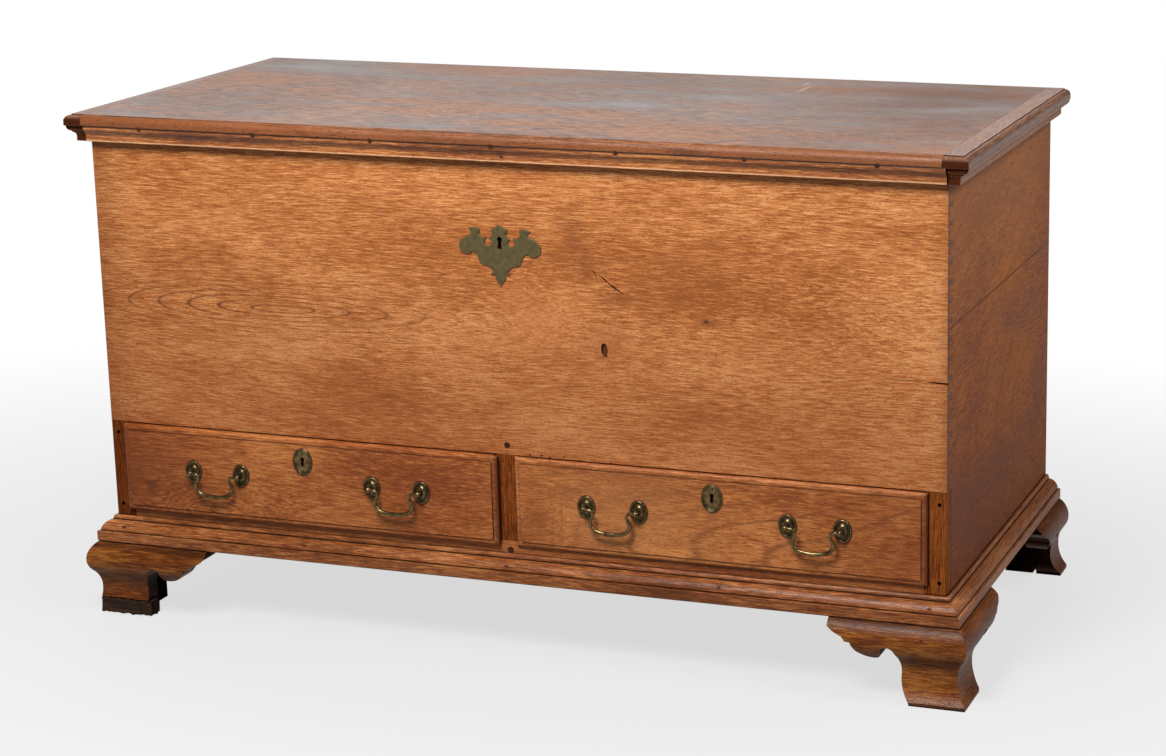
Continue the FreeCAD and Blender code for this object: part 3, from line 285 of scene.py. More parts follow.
def worn(node, material, ease=EASE, corner=26, cutter=None):
    """A copy of a solid with its arrises rounded by wear and, if given, a cutter taken out."""
    mesh = nodes[node].data.copy()
    form = bmesh.new()
    form.from_mesh(mesh)
    bmesh.ops.remove_doubles(form, verts=form.verts, dist=1e-6)
    bmesh.ops.dissolve_limit(form, angle_limit=math.radians(0.5), verts=form.verts, edges=form.edges)
    form.to_mesh(mesh)
    form.free()
    mesh.shade_smooth()
    mesh.set_sharp_from_angle(angle=math.radians(corner))
    piece = new_piece(node + "_worn", mesh)
    bevel = piece.modifiers.new("wear", "BEVEL")
    bevel.width = ease
    bevel.segments = 2
    bevel.limit_method = "ANGLE"
    bevel.angle_limit = math.radians(corner)
    if cutter:
        cut = piece.modifiers.new("cut", "BOOLEAN")
        cut.object = cutter
    weigh = piece.modifiers.new("flats", "WEIGHTED_NORMAL")
    weigh.keep_sharp = True
    finish_mesh(piece)
    fit_out(piece, material, node)


def prism(form, rim, front, back):
    """Adds a rim of (x, z) points, carried from the front to the back, to a bmesh."""
    ahead = [form.verts.new((x, front, z)) for x, z in rim]
    behind = [form.verts.new((x, back, z)) for x, z in rim]
    form.faces.new(ahead)
    form.faces.new(list(reversed(behind)))
    for i in range(len(rim)):
        j = (i + 1) % len(rim)
        form.faces.new((ahead[i], behind[i], behind[j], ahead[j]))


def shakes(name, cracks, depth):
    """A cutter for cracks in the front face. Each crack is (x, z, half width) stations, mm."""
    form = bmesh.new()
    for stations in cracks:
        rim = [(x * MM, (z + half) * MM) for x, z, half in stations]
        rim += [(x * MM, (z - half) * MM) for x, z, half in reversed(stations)]
        prism(form, rim, FACE - MM, FACE + depth)
    return piece_of(name, form)


FRONT_STAINS_AND_SHADE = [
    ((0, FACE, 0.28), (3, THROUGH, 0.2), "7d3f1d", 0.46),                   # painted shade, darker towards the foot
    ((0, FACE, STRIP_LOW), (ALONG, THROUGH, 1.5 * MM), "1c0b04", 0.9),      # painted shadow under the strip
    ((0, FACE, 0.5795), (8 * MM, THROUGH, 14 * MM), "080402", 1.0),         # painted shade inside the keyhole
    ((-0.63, FACE, 0.5), (0.04, THROUGH, 1), "6b3717", 0.5),                # painted shade, darker towards the ends
    ((0.625, FACE, 0.5), (0.014, THROUGH, 1), "6b3717", 0.5),
    ((0.103, FACE, 0.6), (0.013, THROUGH, 0.03), "6f3a1e", 0.5),            # the burl by the lock
    ((0.122, FACE, 0.56), (0.014, THROUGH, 0.025), "6f3a1e", 0.45),
    ((0.15, FACE, 0.452), (0.035, THROUGH, 0.028), "8a4a22", 0.55),         # round the dead knot
    ((0.05, FACE, 0.48), (0.06, THROUGH, 0.05), "b06a3c", 0.5),
    ((0.292, FACE, 0.4915), (0.011, THROUGH, 0.005), "6b3717", 0.7),        # a pin knot
    ((0.292, FACE, 0.4915), (0.004, THROUGH, 0.0022), "2c1107", 0.9),
    ((0.17, FACE, 0.515), (0.024, THROUGH, 0.009), "6b361a", 0.5),
    ((-0.177, FACE, 0.356), (0.012, THROUGH, 0.004), "7a3f1b", 0.8),
    ((0.377, FACE, 0.40), (0.003, THROUGH, 0.04), "8f5128", 0.35),          # old scratches
    ((-0.36, FACE, 0.42), (0.0012, THROUGH, 0.2), "8f5128", 0.25),
    ((0, FACE + 5 * MM, 0.48), (ALONG, 2.5 * MM, 0.14), "0e0603", 1.0)]     # painted shade inside cracks and knot
front_finish = walnut(
    "walnut_waxed_front", "x", ("431c0a", "8a4d23", "b16d3b", "d0925d"), pith=(-0.337, FACE, 0.468),
    slope=0.12, spacing=6 * MM, rings=0.85, figure=((-0.38, FACE, 0.468), (0.31, THROUGH, 0.036)),
    pores=0.62, streaks=1.6, shade_paint=0.2, burls=[((0.11, FACE, 0.5), (0.07, THROUGH, 0.055), 0.02)],
    marks_and_shade=FRONT_STAINS_AND_SHADE)

CRACKS = [
    [(132, 551, 0.3), (136, 548, 1.5), (139, 541, 1.1), (140, 532, 0.2)],               # by the burl
    [(141, 545, 0.3), (150, 539.5, 1.6), (156, 534, 0.9), (163, 529.5, 2.2), (175, 522, 0.5)],
    [(552, 432.6, 0.1), (565, 432.8, 0.5), (588, 432.2, 0.3)],                          # the split end
    [(592, 432.4, 0.3), (604, 431.6, 1.2), (618, 431.2, 1.5), (630, 431, 1.5)],
    [(142, 445, 0.5), (143.5, 444, 7), (147, 443, 10), (150.5, 442, 7), (152, 443, 0.5)],   # the knot
    [(180, 285, 0.3), (186, 284.6, 1.6), (194, 284, 1.0), (206, 283.8, 1.8), (217, 283.6, 0.4)]]
WORM_HOLES = ((33.6, 288), (51.3, 288), (83.7, 289.3), (63, 286.5), (-44, 282), (152, 286))
CRACKS += [[(x - 1.6, z, 0.2), (x, z, 1.5), (x + 1.6, z, 0.2)] for x, z in WORM_HOLES]
cracks = shakes("shakes", CRACKS, depth=4 * MM)
worn("front_board", front_finish, cutter=cracks)
bpy.data.objects.remove(cracks)


# The frame round the drawers: upright stiles at the corners, a muntin between the drawers and
# a rail below, the same walnut but redder, with a round peg through the muntin's foot and
# another over its head.

PEG_EASE = 0.4 * MM
upright_finish = walnut(
    "walnut_waxed_upright", "z", ("1e0b03", "4a200a", "6a3312", "864a1c"), shift=(0.4, 0.3, 0.2),
    pith=(0, 0.4, 0.2), rings=0.4, rough=(0.5, 0.62), shine=0.04)
rail_finish = walnut(
    "walnut_waxed_rail", "x", ("2c1006", "6d3719", "905026", "ad6b3a"), shift=(0.2, 0.5, 0.1), shade_paint=0.5)
for upright in ("left_stile", "right_stile", "muntin"):
    worn(upright, upright_finish)
worn("bottom_rail", rail_finish)
peg_finish = walnut("peg_end_grain", "y", ("1c0f08", "3a2012", "4d2b17", "5c3720"), ends=0.5)
worn("muntin_pegs", peg_finish, ease=PEG_EASE)


# The sides: two boards edge to edge with the grain running front to back, browner than the
# front. The pins of the dovetails show as dark wedges along the front corner.

SIDE_FACE = 0.62                                # the right side's outer face
side_finish = walnut(
    "walnut_waxed_side", "y", ("331407", "7c4020", "9a5629", "b26b38"), pith=(0.0, 0.5, 0.3), slope=0.08,
    rings=0.25, rough=(0.5, 0.62), shine=0.04, mottle=1.1, streaks=1.6,
    # painted shade darker towards the side's foot and painted light paler near its top; the thin dark line is
    # the joint between its boards
    marks_and_shade=[((SIDE_FACE, 0, 0.1), (THROUGH, 1, 0.25), "4a200b", 0.58),
            ((SIDE_FACE, 0, 0.72), (THROUGH, 1, 0.16), "b07a52", 0.4),
            ((SIDE_FACE, 0, 0.502), (THROUGH, 1, 0.0012), "2a1006", 0.8)])
for side in ("left_side", "right_side"):
    worn(side, side_finish)


# The lid: wide boards, greyed and dulled by light and use, tongued into a cleat across each
# end, with a rounded nose along the front that hands have kept warm and shiny.

LID_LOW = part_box("lid_boards")[0][2]            # the joint between the boards and the moulding
NOSE = FACE - 22 * MM
lid_finish = walnut(
    "walnut_dulled_lid", "x", ("0e0603", "361e12", "69432c", "96684a"), pith=(0, 0.1, 0.75), slope=0.03,
    rings=0.5, mottle=1.4, streaks=2.2, pores=0.7, rough=(0.3, 0.58), shine=0.3,
    marks_and_shade=[((0, NOSE, 0.72), (ALONG, 0.012, ALONG), "7d4725", 0.95),           # the warm nose
            ((0, NOSE, LID_LOW), (ALONG, 0.02, 1.6 * MM), "150803", 0.95),
            ((0.268, FACE + 0.508, 0.73), (0.003, 0.012, THROUGH), "b9a08c", 0.8),  # pale scratches
            ((0.28, FACE + 0.46, 0.73), (0.004, 0.03, THROUGH), "b9a08c", 0.6),
            # painted shade: darker at the rear right, where less sheen falls
            ((0.5, 0.1, 0.73), (0.2, 0.3, THROUGH), "4c2a1c", 0.7)])
cleat_finish = walnut(
    "walnut_dulled_cleat", "y", ("3a170b", "5c3a2c", "74503c", "8a6650"), rings=0.3, rough=(0.34, 0.48),
    shine=0.2, ends=0.95)
worn("lid_boards", lid_finish)
for cleat in ("lid_left_cleat", "lid_right_cleat"):
    worn(cleat, cleat_finish)


# The mouldings under the lid and round the base, run with planes from straight walnut and
# nailed or plugged on. Painted shade darkens their hollows, and the lid's right return is chipped.

MOULDING_EASE = 0.5 * MM
QUIRK_UP = 15.4 * MM                            # a groove under the base's ovolo, above its foot
QUIRK_HIGH, QUIRK_DEEP = 1.3 * MM, 6 * MM
CHIPPED_EDGE, CHIP_DEEP = 0.6455, 4 * MM        # the outer edge of the lid's right return
BEYOND = 0.1                                    # how far a cutter reaches past the wood


def boxes(name, *corners):
    """Boxes between pairs of corners, as one piece."""
    form = bmesh.new()
    for low, high in corners:
        for vertex in bmesh.ops.create_cube(form, size=1)["verts"]:
            vertex.co = [high[i] if vertex.co[i] > 0 else low[i] for i in range(3)]
    return piece_of(name, form)


moulding_finish = walnut(
    "walnut_waxed_moulding", "x", ("240c03", "6b3716", "955528", "bd7c45"), shift=(0.1, 0.7, 0.3), rings=0.25,
    mottle=1.0, streaks=1.5, rough=(0.2, 0.3), shine=0.4, ends=0.9, shade_paint=1.0,
    marks_and_shade=[((0, FACE, LID_LOW), (ALONG, THROUGH, 1.3 * MM), "150803", 0.9),
            ((0, FACE, STRIP_LOW + 1.6 * MM), (ALONG, THROUGH, 0.9 * MM), "e6b88c", 0.55),  # painted highlight on a rubbed edge
            ((12 * MM, FACE, 0.7), (0.003, THROUGH, 0.0025), "120804", 1.0)])               # a nail
base_finish = walnut(
    "walnut_waxed_base", "x", ("1a0902", "552b12", "7c4522", "a86c3e"), shift=(0.3, 0.2, 0.3), rings=0.25,
    mottle=1.0, streaks=1.3, rough=(0.28, 0.4), shine=0.2, ends=0.9, shade_paint=1.0)
return_finish = walnut(
    "walnut_waxed_return", "y", ("331307", "68371c", "87502d", "a56b42"), shift=(0.3, 0.2, 0.6), rings=0.25,
    streaks=1.1, rough=(0.34, 0.48), shine=0.1, ends=0.9, shade_paint=1.0)
worn("lid_front_moulding", moulding_finish, ease=MOULDING_EASE)

CHIPS = ((135, 706, 46, 3.2), (160, 707, 20, 4.5), (330, 711, 40, 2.6), (372, 709.5, 26, 3.8),
         (400, 708, 30, 2.4), (455, 708, 34, 3.4), (417, 704, 12, 2.2))     # back, up, long, high, mm
chipped = bmesh.new()
for y, z, long, high in CHIPS:
    place = Vector((CHIPPED_EDGE, FACE + y * MM, z * MM))
    size = Matrix.Diagonal((CHIP_DEEP, long * MM / 2, high * MM / 2, 1))
    bmesh.ops.create_icosphere(chipped, subdivisions=2, radius=1, matrix=Matrix.Translation(place) @ size)
chips = piece_of("chips", chipped)
worn("lid_side_mouldings", return_finish, ease=MOULDING_EASE, cutter=chips)
bpy.data.objects.remove(chips)

(left, front, foot), (right, _, _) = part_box("base_moulding_front")
quirk_low, quirk_high = foot + QUIRK_UP, foot + QUIRK_UP + QUIRK_HIGH
groove = boxes("groove", ((left - BEYOND, front - BEYOND, quirk_low),
                          (right + BEYOND, front + QUIRK_DEEP, quirk_high)))
worn("base_moulding_front", base_finish, ease=MOULDING_EASE, cutter=groove)
bpy.data.objects.remove(groove)
groove = boxes("groove", ((left - BEYOND, front - BEYOND, quirk_low), (left + QUIRK_DEEP, 1, quirk_high)),
               ((right - QUIRK_DEEP, front - BEYOND, quirk_low), (right + BEYOND, 1, quirk_high)))
worn("base_moulding_sides", return_finish, ease=MOULDING_EASE, cutter=groove)
bpy.data.objects.remove(groove)
worn("lid_moulding_plugs", peg_finish, ease=PEG_EASE)


# The feet: ogee brackets sawn and planed from thick walnut, mitred at the front corners, with
# softwood blocks glued behind them, black with dirt. The left front foot has rotted away at the
# bottom, down to a crumbling block.

FOOT_EASE = 1.4 * MM
BLOCK_HIGH, BLOCK_REACH = 24.5 * MM, 25 * MM    # what rot has left, up and past the case's corner
BLOCK_LONG, BLOCK_BACK = 60 * MM, 50 * MM       # and in from that corner, along front and side
foot_finish = walnut(
    "walnut_waxed_foot", "x", ("180802", "482008", "693610", "905825"), shift=(0.6, 0.1, 0.4), mottle=1.3,
    streaks=1.4, rough=(0.28, 0.42), shine=0.15, ends=0.9, shade_paint=1.0,
    marks_and_shade=[((0, FACE, 0.104), (ALONG, THROUGH, 4 * MM), "1c0a04", 0.6),        # painted shade under the moulding
            ((0, FACE, 0.059), (ALONG, THROUGH, 8.5 * MM), "2e1406", 0.55),     # painted shade in the hollow
            ((0, FACE, 0), (ALONG, THROUGH, 6 * MM), "140703", 0.75)])          # painted shadow at the floor
foot_side_finish = walnut(
    "walnut_waxed_foot_side", "y", ("180802", "52280f", "6f3c1a", "905729"), shift=(0.2, 0.4, 0.5),
    mottle=1.2, streaks=1.3, rough=(0.36, 0.5), shine=0.08, ends=0.9,
    # painted shade: black over the shaded part of the rear right foot
    marks_and_shade=[((SIDE_FACE, -FACE - 0.13, 0.06), (THROUGH, 0.04, 0.04), "0a0502", 0.95)])
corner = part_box("left_side")[0][0]              # the case's left face
waste = boxes("waste", ((corner - BEYOND, FACE - BEYOND, -MM), (corner + BEYOND, FACE + BEYOND, BLOCK_HIGH)))
for place in ("front_left", "front_right"):
    worn(place + "_foot_front", foot_finish, ease=FOOT_EASE, cutter=waste if place == "front_left" else None)
for place in ("front_left", "front_right", "rear_left", "rear_right"):
    worn(place + "_foot_side", foot_side_finish, ease=FOOT_EASE,
         cutter=waste if place == "front_left" else None)
bpy.data.objects.remove(waste)

rotten_finish = walnut(
    "walnut_rotten_block", "x", ("080403", "1b0f08", "38200f", "5a3517"), mottle=2.0, rough=(0.6, 0.8))
outer = (corner - BLOCK_REACH, FACE - BLOCK_REACH, 0)
rotten = boxes("left_foot_block", (outer, (corner + BLOCK_LONG, FACE + 3 * MM, BLOCK_HIGH)))
arm = boxes("arm", ((corner - BLOCK_REACH, FACE - 20 * MM, 0),
                    (corner + 3 * MM, FACE + BLOCK_BACK, BLOCK_HIGH)))
joined = rotten.modifiers.new("arm", "BOOLEAN")
joined.operation = "UNION"
joined.object = arm
fine = rotten.modifiers.new("fine", "REMESH")
fine.mode = "VOXEL"
fine.voxel_size = 1.5 * MM
crumbled = rotten.modifiers.new("crumbled", "DISPLACE")
crumbled.texture = bpy.data.textures.new("crumbled", "CLOUDS")
crumbled.texture.noise_scale = 9 * MM
crumbled.strength = 5 * MM
crumbled.mid_level = 0.85
finish_mesh(rotten)
bpy.data.objects.remove(arm)
for vertex in rotten.data.vertices:
    vertex.co.z = max(vertex.co.z, 0)
rotten.data.shade_smooth()
fit_out(rotten, rotten_finish, "front_left_foot_front", "front_left_foot_side")
block_finish = walnut(
    "pine_blackened_block", "z", ("050302", "110b07", "1d130c", "291c13"), rough=(0.7, 0.9), shine=0.0)
worn("foot_blocks", block_finish)
worn("rear_foot_boards", block_finish)


# The hidden woodwork, of pine left from the saw: the back, the chest's floor, the runners and
# guides, and the drawers' sides, backs and bottoms.

PINE = ("5a3a1c", "96703f", "b58f5c", "caa873")
pine_finish = walnut("pine_bare_boards", "x", PINE, rings=0.6, pores=0.15, rough=(0.6, 0.75))
pine_deep_finish = walnut(
    "pine_bare_runners", "y", PINE, rings=0.6, pores=0.15, rough=(0.6, 0.75), shift=(0.3, 0.1, 0.1))
for board in ("back_boards", "chest_floor", "left_drawer_back", "right_drawer_back"):
    worn(board, pine_finish)
for board in ("drawer_runners", "drawer_guides", "left_drawer_sides", "right_drawer_sides",
              "left_drawer_bottom", "right_drawer_bottom"):
    worn(board, pine_deep_finish)


# The drawer fronts: redder walnut with a swirling figure, a thumbnail moulding run round the
# edge and a lip that laps over the case.

LIP_EASE = 0.6 * MM
LIP_LOW = 0.1475                                # the foot of a drawer's lip


def middle(node, axis):
    low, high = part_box(node)
    return (low[axis] + high[axis]) / 2


def drawer_shade_and_dirt(side):
    """Dirt and painted shade on a drawer front: both along the lower lip, painted shade down the right lip
    and inside the keyhole.
    """
    right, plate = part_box(side + "_drawer_front")[1][0], side + "_drawer_escutcheon"
    keyhole = (middle(plate, 0), FACE, middle(plate, 2))
    return [((0, FACE, LIP_LOW), (ALONG, THROUGH, 4 * MM), "3d1206", 0.9),
            ((right - 2 * MM, FACE, 0.2), (4.5 * MM, THROUGH, ALONG), "46200d", 0.75),
            (keyhole, (8 * MM, THROUGH, 11 * MM), "080402", 1.0)]


DRAWER_TONES = ("361405", "713717", "955529", "b67440")
left_front_finish = walnut(
    "walnut_waxed_left_drawer", "x", DRAWER_TONES, pith=(-0.5, FACE, 0.165), slope=0.25, spacing=6 * MM,
    rings=0.6, figure=((-0.5, FACE, 0.165), (0.16, THROUGH, 0.08)), mottle=1.0,
    burls=[((-0.54, FACE, 0.173), (0.05, THROUGH, 0.03), 0.03),
           ((-0.29, FACE, 0.185), (0.09, THROUGH, 0.03), 0.02)],
    marks_and_shade=drawer_shade_and_dirt("left") + [((-0.6, FACE, 0.2), (0.06, THROUGH, 0.2), "6b3212", 0.6),
                              ((-0.15, FACE, 0.16), (0.2, THROUGH, 0.05), "6b3212", 0.35)])
right_front_finish = walnut(
    "walnut_waxed_right_drawer", "x", DRAWER_TONES, shift=(0.7, 0.1, 0.25), slope=0.1, rings=0.45, mottle=1.0,
    burls=[((0.75, FACE + 0.1, 0.45), (0.03, THROUGH, 0.03), 0.02)],
    marks_and_shade=drawer_shade_and_dirt("right") + [((0.17, FACE, 0.21), (0.13, THROUGH, 0.08), "c28550", 0.35),
                               ((0.56, FACE, 0.2), (0.12, THROUGH, 0.2), "6b3414", 0.35),
                               ((0.045, FACE, 0.2), (0.02, THROUGH, 0.02), "6b3717", 0.5)])
worn("left_drawer_front", left_front_finish, ease=LIP_EASE)
worn("right_drawer_front", right_front_finish, ease=LIP_EASE)


# The brasses: cast and filed brass with a dull olive patina, glossier where it stands proud and
# darkened by painted shade where its parts shut it in. Each handle hangs from two ball-headed posts over oval
# rosettes with a beaded rim and a domed middle; the oval escutcheons have a double bead and a pin above and
# below the keyhole.

PLATE_EASE, METAL_EASE = 0.35 * MM, 0.3 * MM
HANDLE_HEIGHT = 223.5 * MM
POST_GAP = 76 * MM                              # between a handle's two posts
POST_REACH = 11.5 * MM                          # from the drawer to the middle of a post's head
ASKEW = math.radians(2.5)                       # how far a rosette may stand askew
EYE_UP = 3.5 * MM                               # from a plate's middle to its keyhole's eye
PIN_AWAY, PIN_SET = 12.5 * MM, 0.7 * MM         # from a plate's middle to its pins, and their foot
CAST_CORNER = 50                                # degrees, what stays sharp in a cast form
# Outlines are (share of the half width, distance to the front) from the rim inward, mm.
ROSETTE = [(1, 0), (1, 1.1), (0.98, 1.7), (0.93, 2.1), (0.87, 2.1), (0.82, 1.7), (0.8, 1.0), (0.76, 0.5),
           (0.66, 0.5), (0.62, 0.9), (0.58, 1.8), (0.5, 2.8), (0.4, 3.5), (0.3, 3.8), (0.22, 3.9)]
OVAL = [(1, 0), (1, 0.9), (0.975, 1.4), (0.94, 1.6), (0.905, 1.4), (0.88, 0.9), (0.855, 1.3), (0.82, 1.6),
        (0.785, 1.3), (0.76, 0.8), (0.7, 0.8), (0.35, 0.9)]
PIN = [(1, 0), (1, 0.25), (0.9, 0.55), (0.65, 0.85), (0.35, 1.0), (0, 1.05)]


def old_brass(name, dull, bright, rough, reach, shade_paint=0.9):
    """Brass under a brown-green patina, cloudy at a few millimetres, with painted shade that turns it black
    in the corners.
    """
    material, tree, shader = new_material(name)
    point = add(tree, "ShaderNodeTexCoord", out="Object")
    cloud = noise(tree, point, 130.0, 4.0)
    colour = stepped(tree, cloud, (0.3, linear(dull)), (0.75, linear(bright)))
    # painted shade: near black where neighbours within reach shut the brass in
    painted_shade = shut_in(tree, reach, 0.94, 0.6, shade_paint)
    colour = mixed(tree, painted_shade, colour, linear("110c06"))
    tree.links.new(colour, shader.inputs["Base Color"])
    gloss = spread(tree, cloud, 0.0, 1.0, *rough)
    gloss = maths(tree, "MULTIPLY_ADD", painted_shade, 0.4, gloss)
    tree.links.new(gloss, shader.inputs["Roughness"])
    shader.inputs["Metallic"].default_value = 0.9
    relief(tree, shader, cloud, 0.15, 0.3 * MM)
    return material


def turned(name, outline, wide, high, steps=56):
    """A round or oval form about the front-to-back axis, its back at y = 0, sizes in mm."""
    form = bmesh.new()
    rings = []
    for share, out in outline:
        ring = []
        for step in range(steps if share else 1):
            angle = math.tau * step / steps
            ring.append(form.verts.new((share * wide / 2 * math.cos(angle) * MM, -out * MM,
                                        share * high / 2 * math.sin(angle) * MM)))
        rings.append(ring)
    for outer, inner in zip(rings, rings[1:]):
        for i, a in enumerate(outer):
            j = (i + 1) % len(outer)
            form.faces.new((a, outer[j], inner[0]) if len(inner) == 1 else (a, outer[j], inner[j], inner[i]))
    form.faces.new(rings[0])
    if len(rings[-1]) > 1:
        form.faces.new(rings[-1])
    return piece_of(name, form, CAST_CORNER)


def repeater():
    """Geometry nodes that set copies of a small original on points, each turned a little."""
    group = bpy.data.node_groups.new("repeat", "GeometryNodeTree")
    for socket, kind in (("Places", "Geometry"), ("Original", "Object"), ("Finish", "Material"),
                         ("Turn", "Float")):
        group.interface.new_socket(socket, in_out="INPUT", socket_type="NodeSocket" + kind)
    group.interface.new_socket("Pieces", in_out="OUTPUT", socket_type="NodeSocketGeometry")
    given = add(group, "NodeGroupInput").node.outputs
    original = add(group, "GeometryNodeObjectInfo", {"Object": given["Original"]}, out="Geometry")
    low = maths(group, "MULTIPLY", given["Turn"], -1.0)
    turn = add(group, "FunctionNodeRandomValue", {2: low, 3: given["Turn"], "Seed": 7}, out=1,
               data_type="FLOAT")
    turn = add(group, "ShaderNodeCombineXYZ", {"Y": turn})
    copies = add(group, "GeometryNodeInstanceOnPoints",
                 {"Points": given["Places"], "Instance": original, "Rotation": turn})
    copies = add(group, "GeometryNodeRealizeInstances", {"Geometry": copies})
    copies = add(group, "GeometryNodeSetMaterial", {"Geometry": copies, "Material": given["Finish"]})
    add(group, "NodeGroupOutput", {"Pieces": copies})
    return group


repeat = repeater()


def repeated(name, original, places, finish, turn, *stood_for):
    """One piece: copies of an original at places, turned at random by up to an angle."""
    mesh = bpy.data.meshes.new(name)
    mesh.from_pydata(places, [], [])
    piece = new_piece(name, mesh)
    copies = piece.modifiers.new("repeat", "NODES")
    copies.node_group = repeat
    values = {"Original": original, "Finish": finish, "Turn": turn}
    for item in repeat.interface.items_tree:
        if item.name in values:
            copies[item.identifier] = values[item.name]
    finish_mesh(piece)
    fit_out(piece, finish, *stood_for)


def bail_path(samples=14):
    """Half of the bail's middle line in mm, as (x, z, radius), from the middle of its bar to its
    end in the post: a sagging bar that swells in the middle, a round elbow, a slim neck that
    sweeps inward, and a bend into the post."""
    bar, low, sag = 19, -32, 2.6                # half the bar's length, its foot, how deep it sags
    swell, swell_reach = 0.5, 8                 # how much thicker its middle is, and over how far
    elbow_x, elbow_z, elbow = 15.57, -16.86, 13     # the elbow's centre and radius
    neck, bend = 24.5, 6.5                      # the neck's distance from the middle, and its bend
    past = 2.6                                  # how far the end runs past the post's middle
    path = []

    def arc(cx, cz, radius, start, end, thick, thin):
        for step in range(samples + 1):
            share = step / samples
            angle = math.radians(start + (end - start) * share)
            path.append((cx + radius * math.cos(angle), cz + radius * math.sin(angle),
                         thick + (thin - thick) * share))

    for step in range(samples):
        x = bar * step / samples
        path.append((x, low + sag * (x / bar) ** 2, 2.9 + swell * math.exp(-(x / swell_reach) ** 2)))
    arc(elbow_x, elbow_z, elbow, -74.7, 0, 2.9, 2.75)
    for step in range(1, samples):
        share = step / samples
        blend = share * share * (3 - 2 * share)
        path.append((elbow_x + elbow + (neck - elbow_x - elbow) * blend,
                     elbow_z + (-bend - elbow_z) * share, 2.75 - 0.55 * share))
    arc(neck + bend, -bend, bend, 180, 90, 2.15, 2.0)
    path.append((POST_GAP / 2 / MM + past, 0, 2.0))
    return path


def swept(name, path, pivot, steps=20):
    """A round bar along a path in the plane of the drawer, mirrored to its other half."""
    line = [(-x, z, r) for x, z, r in reversed(path[1:])] + path
    form = bmesh.new()
    rings = []
    for i, (x, z, radius) in enumerate(line):
        before, after = line[max(i - 1, 0)], line[min(i + 1, len(line) - 1)]
        along = Vector((after[0] - before[0], 0, after[1] - before[1])).normalized()
        across = Vector((-along.z, 0, along.x))
        ring = []
        for step in range(steps):
            angle = math.tau * step / steps
            offset = across * math.cos(angle) + Vector((0, 1, 0)) * math.sin(angle)
            ring.append(form.verts.new(pivot + (Vector((x, 0, z)) + offset * radius) * MM))
        rings.append(ring)
    for a, b in zip(rings, rings[1:]):
        for i in range(steps):
            form.faces.new((a[i], a[(i + 1) % steps], b[(i + 1) % steps], b[i]))
    form.faces.new(rings[0])
    form.faces.new(rings[-1])
    return piece_of(name, form, CAST_CORNER)


def keyhole_cutter(x, z, front, back):
    """A round eye over a slot, through an escutcheon."""
    eye, slot, drop = 3.4, 2.2, 10.2            # the eye's radius, the slot's half width and foot, mm
    angles = [math.radians(140 - 280 * i / 24) for i in range(25)]
    rim = [(slot, -drop)] + [(eye * math.sin(a), eye * math.cos(a)) for a in angles] + [(-slot, -drop)]
    form = bmesh.new()
    prism(form, [(x + a * MM, z + b * MM) for a, b in rim], front, back)
    return piece_of("keyhole", form)


plate_brass = old_brass("brass_sheet_patinated", "5a4f33", "6f6442", (0.6, 0.45), 2 * MM)
cast_brass = old_brass("brass_cast_rubbed", "3b2e1a", "806a45", (0.34, 0.24), 6 * MM, shade_paint=1.0)
for plate in ("chest_escutcheon", "escutcheon_nails"):
    worn(plate, plate_brass, ease=PLATE_EASE)
rosette = turned("rosette", ROSETTE, wide=25.5, high=32)
pin = turned("pin", PIN, wide=3.2, high=3.2, steps=20)
for side in ("left", "right"):
    plate = side + "_drawer_escutcheon"
    drawer_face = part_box(plate)[1][1]
    bails = {bail: middle(bail, 0) for bail in (side + "_drawer_left_bail", side + "_drawer_right_bail")}
    posts = [(x + POST_GAP / 2 * end, drawer_face, HANDLE_HEIGHT) for x in bails.values() for end in (-1, 1)]
    repeated(side + "_rosettes", rosette, posts, cast_brass, ASKEW, side + "_drawer_rosettes")
    worn(side + "_drawer_posts", cast_brass, ease=METAL_EASE)
    for bail, x in bails.items():
        pivot = Vector((x, drawer_face - POST_REACH, HANDLE_HEIGHT))
        fit_out(swept(bail + "_swept", bail_path(), pivot), cast_brass, bail)
    key_x, key_z = middle(plate, 0), middle(plate, 2)
    oval = turned(side + "_oval", OVAL, wide=30, high=39)
    oval.data.transform(Matrix.Translation((key_x, drawer_face, key_z)))
    hole = keyhole_cutter(key_x, key_z + EYE_UP, drawer_face - 3 * MM, drawer_face + MM)
    cut = oval.modifiers.new("keyhole", "BOOLEAN")
    cut.object = hole
    finish_mesh(oval)
    bpy.data.objects.remove(hole)
    fit_out(oval, cast_brass, plate)
    pins = [(key_x, drawer_face - PIN_SET, key_z + PIN_AWAY * end) for end in (-1, 1)]
    repeated(side + "_oval_pins", pin, pins, cast_brass, 0.0, plate)
bpy.data.objects.remove(rosette)
bpy.data.objects.remove(pin)


# The ironwork: forged hinges, locks and nails, nearly black, with a little rust. The nails'
# heads have been waxed over with the wood.

def forged_iron(name, scale="2a1910", rusty="502e1a"):
    """Forged iron: dark scale with brown rust in patches, rough to the light."""
    material, tree, shader = new_material(name)
    point = add(tree, "ShaderNodeTexCoord", out="Object")
    rust = noise(tree, point, 60.0, 5.0)
    colour = stepped(tree, rust, (0.4, linear(scale)), (0.65, linear(rusty)))
    tree.links.new(colour, shader.inputs["Base Color"])
    shader.inputs["Metallic"].default_value = 0.5
    shader.inputs["Roughness"].default_value = 0.6
    relief(tree, shader, rust, 0.5, 0.5 * MM)
    return material


iron = forged_iron("iron_forged")
for fitting in ("hinge_straps", "hinge_leaves", "hinge_pins", "chest_lock", "chest_lock_bolt",
                "lid_lock_keeper", "left_drawer_lock", "left_drawer_bolt", "right_drawer_lock",
                "right_drawer_bolt"):
    worn(fitting, iron, ease=METAL_EASE)
worn("case_nails", forged_iron("iron_nails_waxed_over", "4a2612", "6b3a1c"), ease=METAL_EASE)
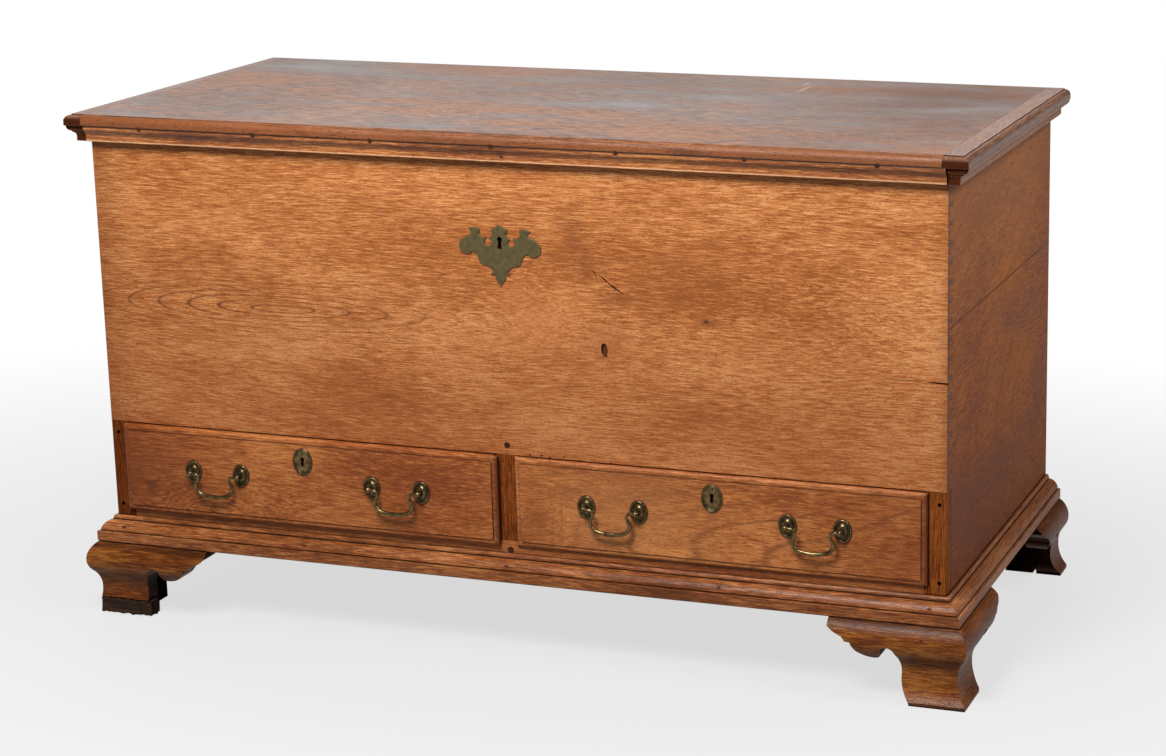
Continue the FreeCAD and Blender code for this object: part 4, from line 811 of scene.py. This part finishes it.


# The floor: a wide pale sheet that glows white where it is seen, partly near the chest and wholly far from
# it:
# painted light that leaves only a soft grey shadow on it.

FADE_START, FADE_END = 0.5, 1.6                 # metres from the chest's middle
bpy.ops.mesh.primitive_plane_add(size=60)
floor = bpy.context.object
floor.name = "floor"
sheet, tree, shader = new_material("paper_white_floor")
shader.inputs["Base Color"].default_value = (0.3, 0.3, 0.3, 1)
shader.inputs["Roughness"].default_value = 0.7
shader.inputs["Specular IOR Level"].default_value = 0.1
floor.data.materials.append(sheet)
spot = add(tree, "ShaderNodeTexCoord", out="Object")
far = vectors(tree, "MULTIPLY", spot, (0.75, 1, 1))
far = vectors(tree, "LENGTH", far, out="Value")
far = spread(tree, far, FADE_START, FADE_END, 0.68, 1.0)
ray = add(tree, "ShaderNodeLightPath").node.outputs
seen = maths(tree, "ADD", ray["Is Camera Ray"], ray["Is Glossy Ray"])
seen = maths(tree, "ADD", seen, ray["Is Transmission Ray"])
fade = maths(tree, "MULTIPLY", far, seen)
# painted light: the floor glows white to camera, glossy and transmission rays, more so away from the chest
floor_glow = add(tree, "ShaderNodeEmission", {"Color": (1, 1, 1, 1), "Strength": 1.0})
blend = add(tree, "ShaderNodeMixShader", {"Fac": fade, 1: shader.outputs[0], 2: floor_glow})
output = next(node for node in tree.nodes if node.type == "OUTPUT_MATERIAL")
tree.links.new(blend, output.inputs["Surface"])


# Soft studio light: a pale surround, a large key lamp high over the left of the front, a fill on
# the right and a broad one over the back that greys the top of the lid.

world = bpy.data.worlds.new("studio")
bpy.context.scene.world = world
world.use_nodes = True
sky = world.node_tree
sky.nodes.clear()
ray = add(sky, "ShaderNodeLightPath").node.outputs
seen = maths(sky, "ADD", ray["Is Camera Ray"], ray["Is Transmission Ray"])
surround = add(sky, "ShaderNodeBackground", {"Color": (0.96, 0.98, 1, 1), "Strength": 0.12})
backdrop = add(sky, "ShaderNodeBackground", {"Color": (1, 1, 1, 1), "Strength": 1.0})
lit = add(sky, "ShaderNodeMixShader", {"Fac": seen, 1: surround, 2: backdrop})
add(sky, "ShaderNodeOutputWorld", {"Surface": lit})


def lamp(name, place, aim, size, watts):
    light = bpy.data.lights.new(name, "AREA")
    light.shape = "DISK"
    light.size = size
    light.energy = watts
    holder = new_piece(name, light)
    holder.location = place
    holder.visible_camera = False
    holder.rotation_euler = (Vector(aim) - Vector(place)).to_track_quat("-Z", "Y").to_euler()


lamp("key", place=(0.0, -1.8, 2.4), aim=(0, -0.2, 0.5), size=1.1, watts=108)
lamp("fill", place=(3.0, -0.5, 3.0), aim=(0.5, 0, 0.5), size=1.6, watts=75)
lamp("backdrop", place=(-2.3, 4.4, 1.9), aim=(0, 0, 0.7), size=5.2, watts=96)


# The camera: a long lens, above and to the right of the chest's middle, its frame shifted so
# that the verticals converge as they should.

FOCAL, WIDE, HIGH = 2690, 1166, 756             # pixels
AXIS_U, AXIS_V = 773, 330                       # where the lens axis meets the frame, pixels
TURN, TIP, ROLL = 18.7, 76.2, -0.63             # degrees
EYE = (1.476, FACE - 3.224, 1.323)
camera = bpy.data.cameras.new("camera")
camera.sensor_width = 36
camera.lens = FOCAL / WIDE * camera.sensor_width
camera.shift_x = (WIDE / 2 - AXIS_U) / WIDE
camera.shift_y = (AXIS_V - HIGH / 2) / WIDE
camera.clip_end = 100
viewer = new_piece("camera", camera)
aim = Matrix.Rotation(math.radians(TURN), 4, "Z") @ Matrix.Rotation(math.radians(TIP), 4, "X")
aim = aim @ Matrix.Rotation(math.radians(ROLL), 4, "Z")
viewer.matrix_world = Matrix.Translation(EYE) @ aim
bpy.context.scene.camera = viewer
bpy.context.scene.view_settings.view_transform = "Standard"
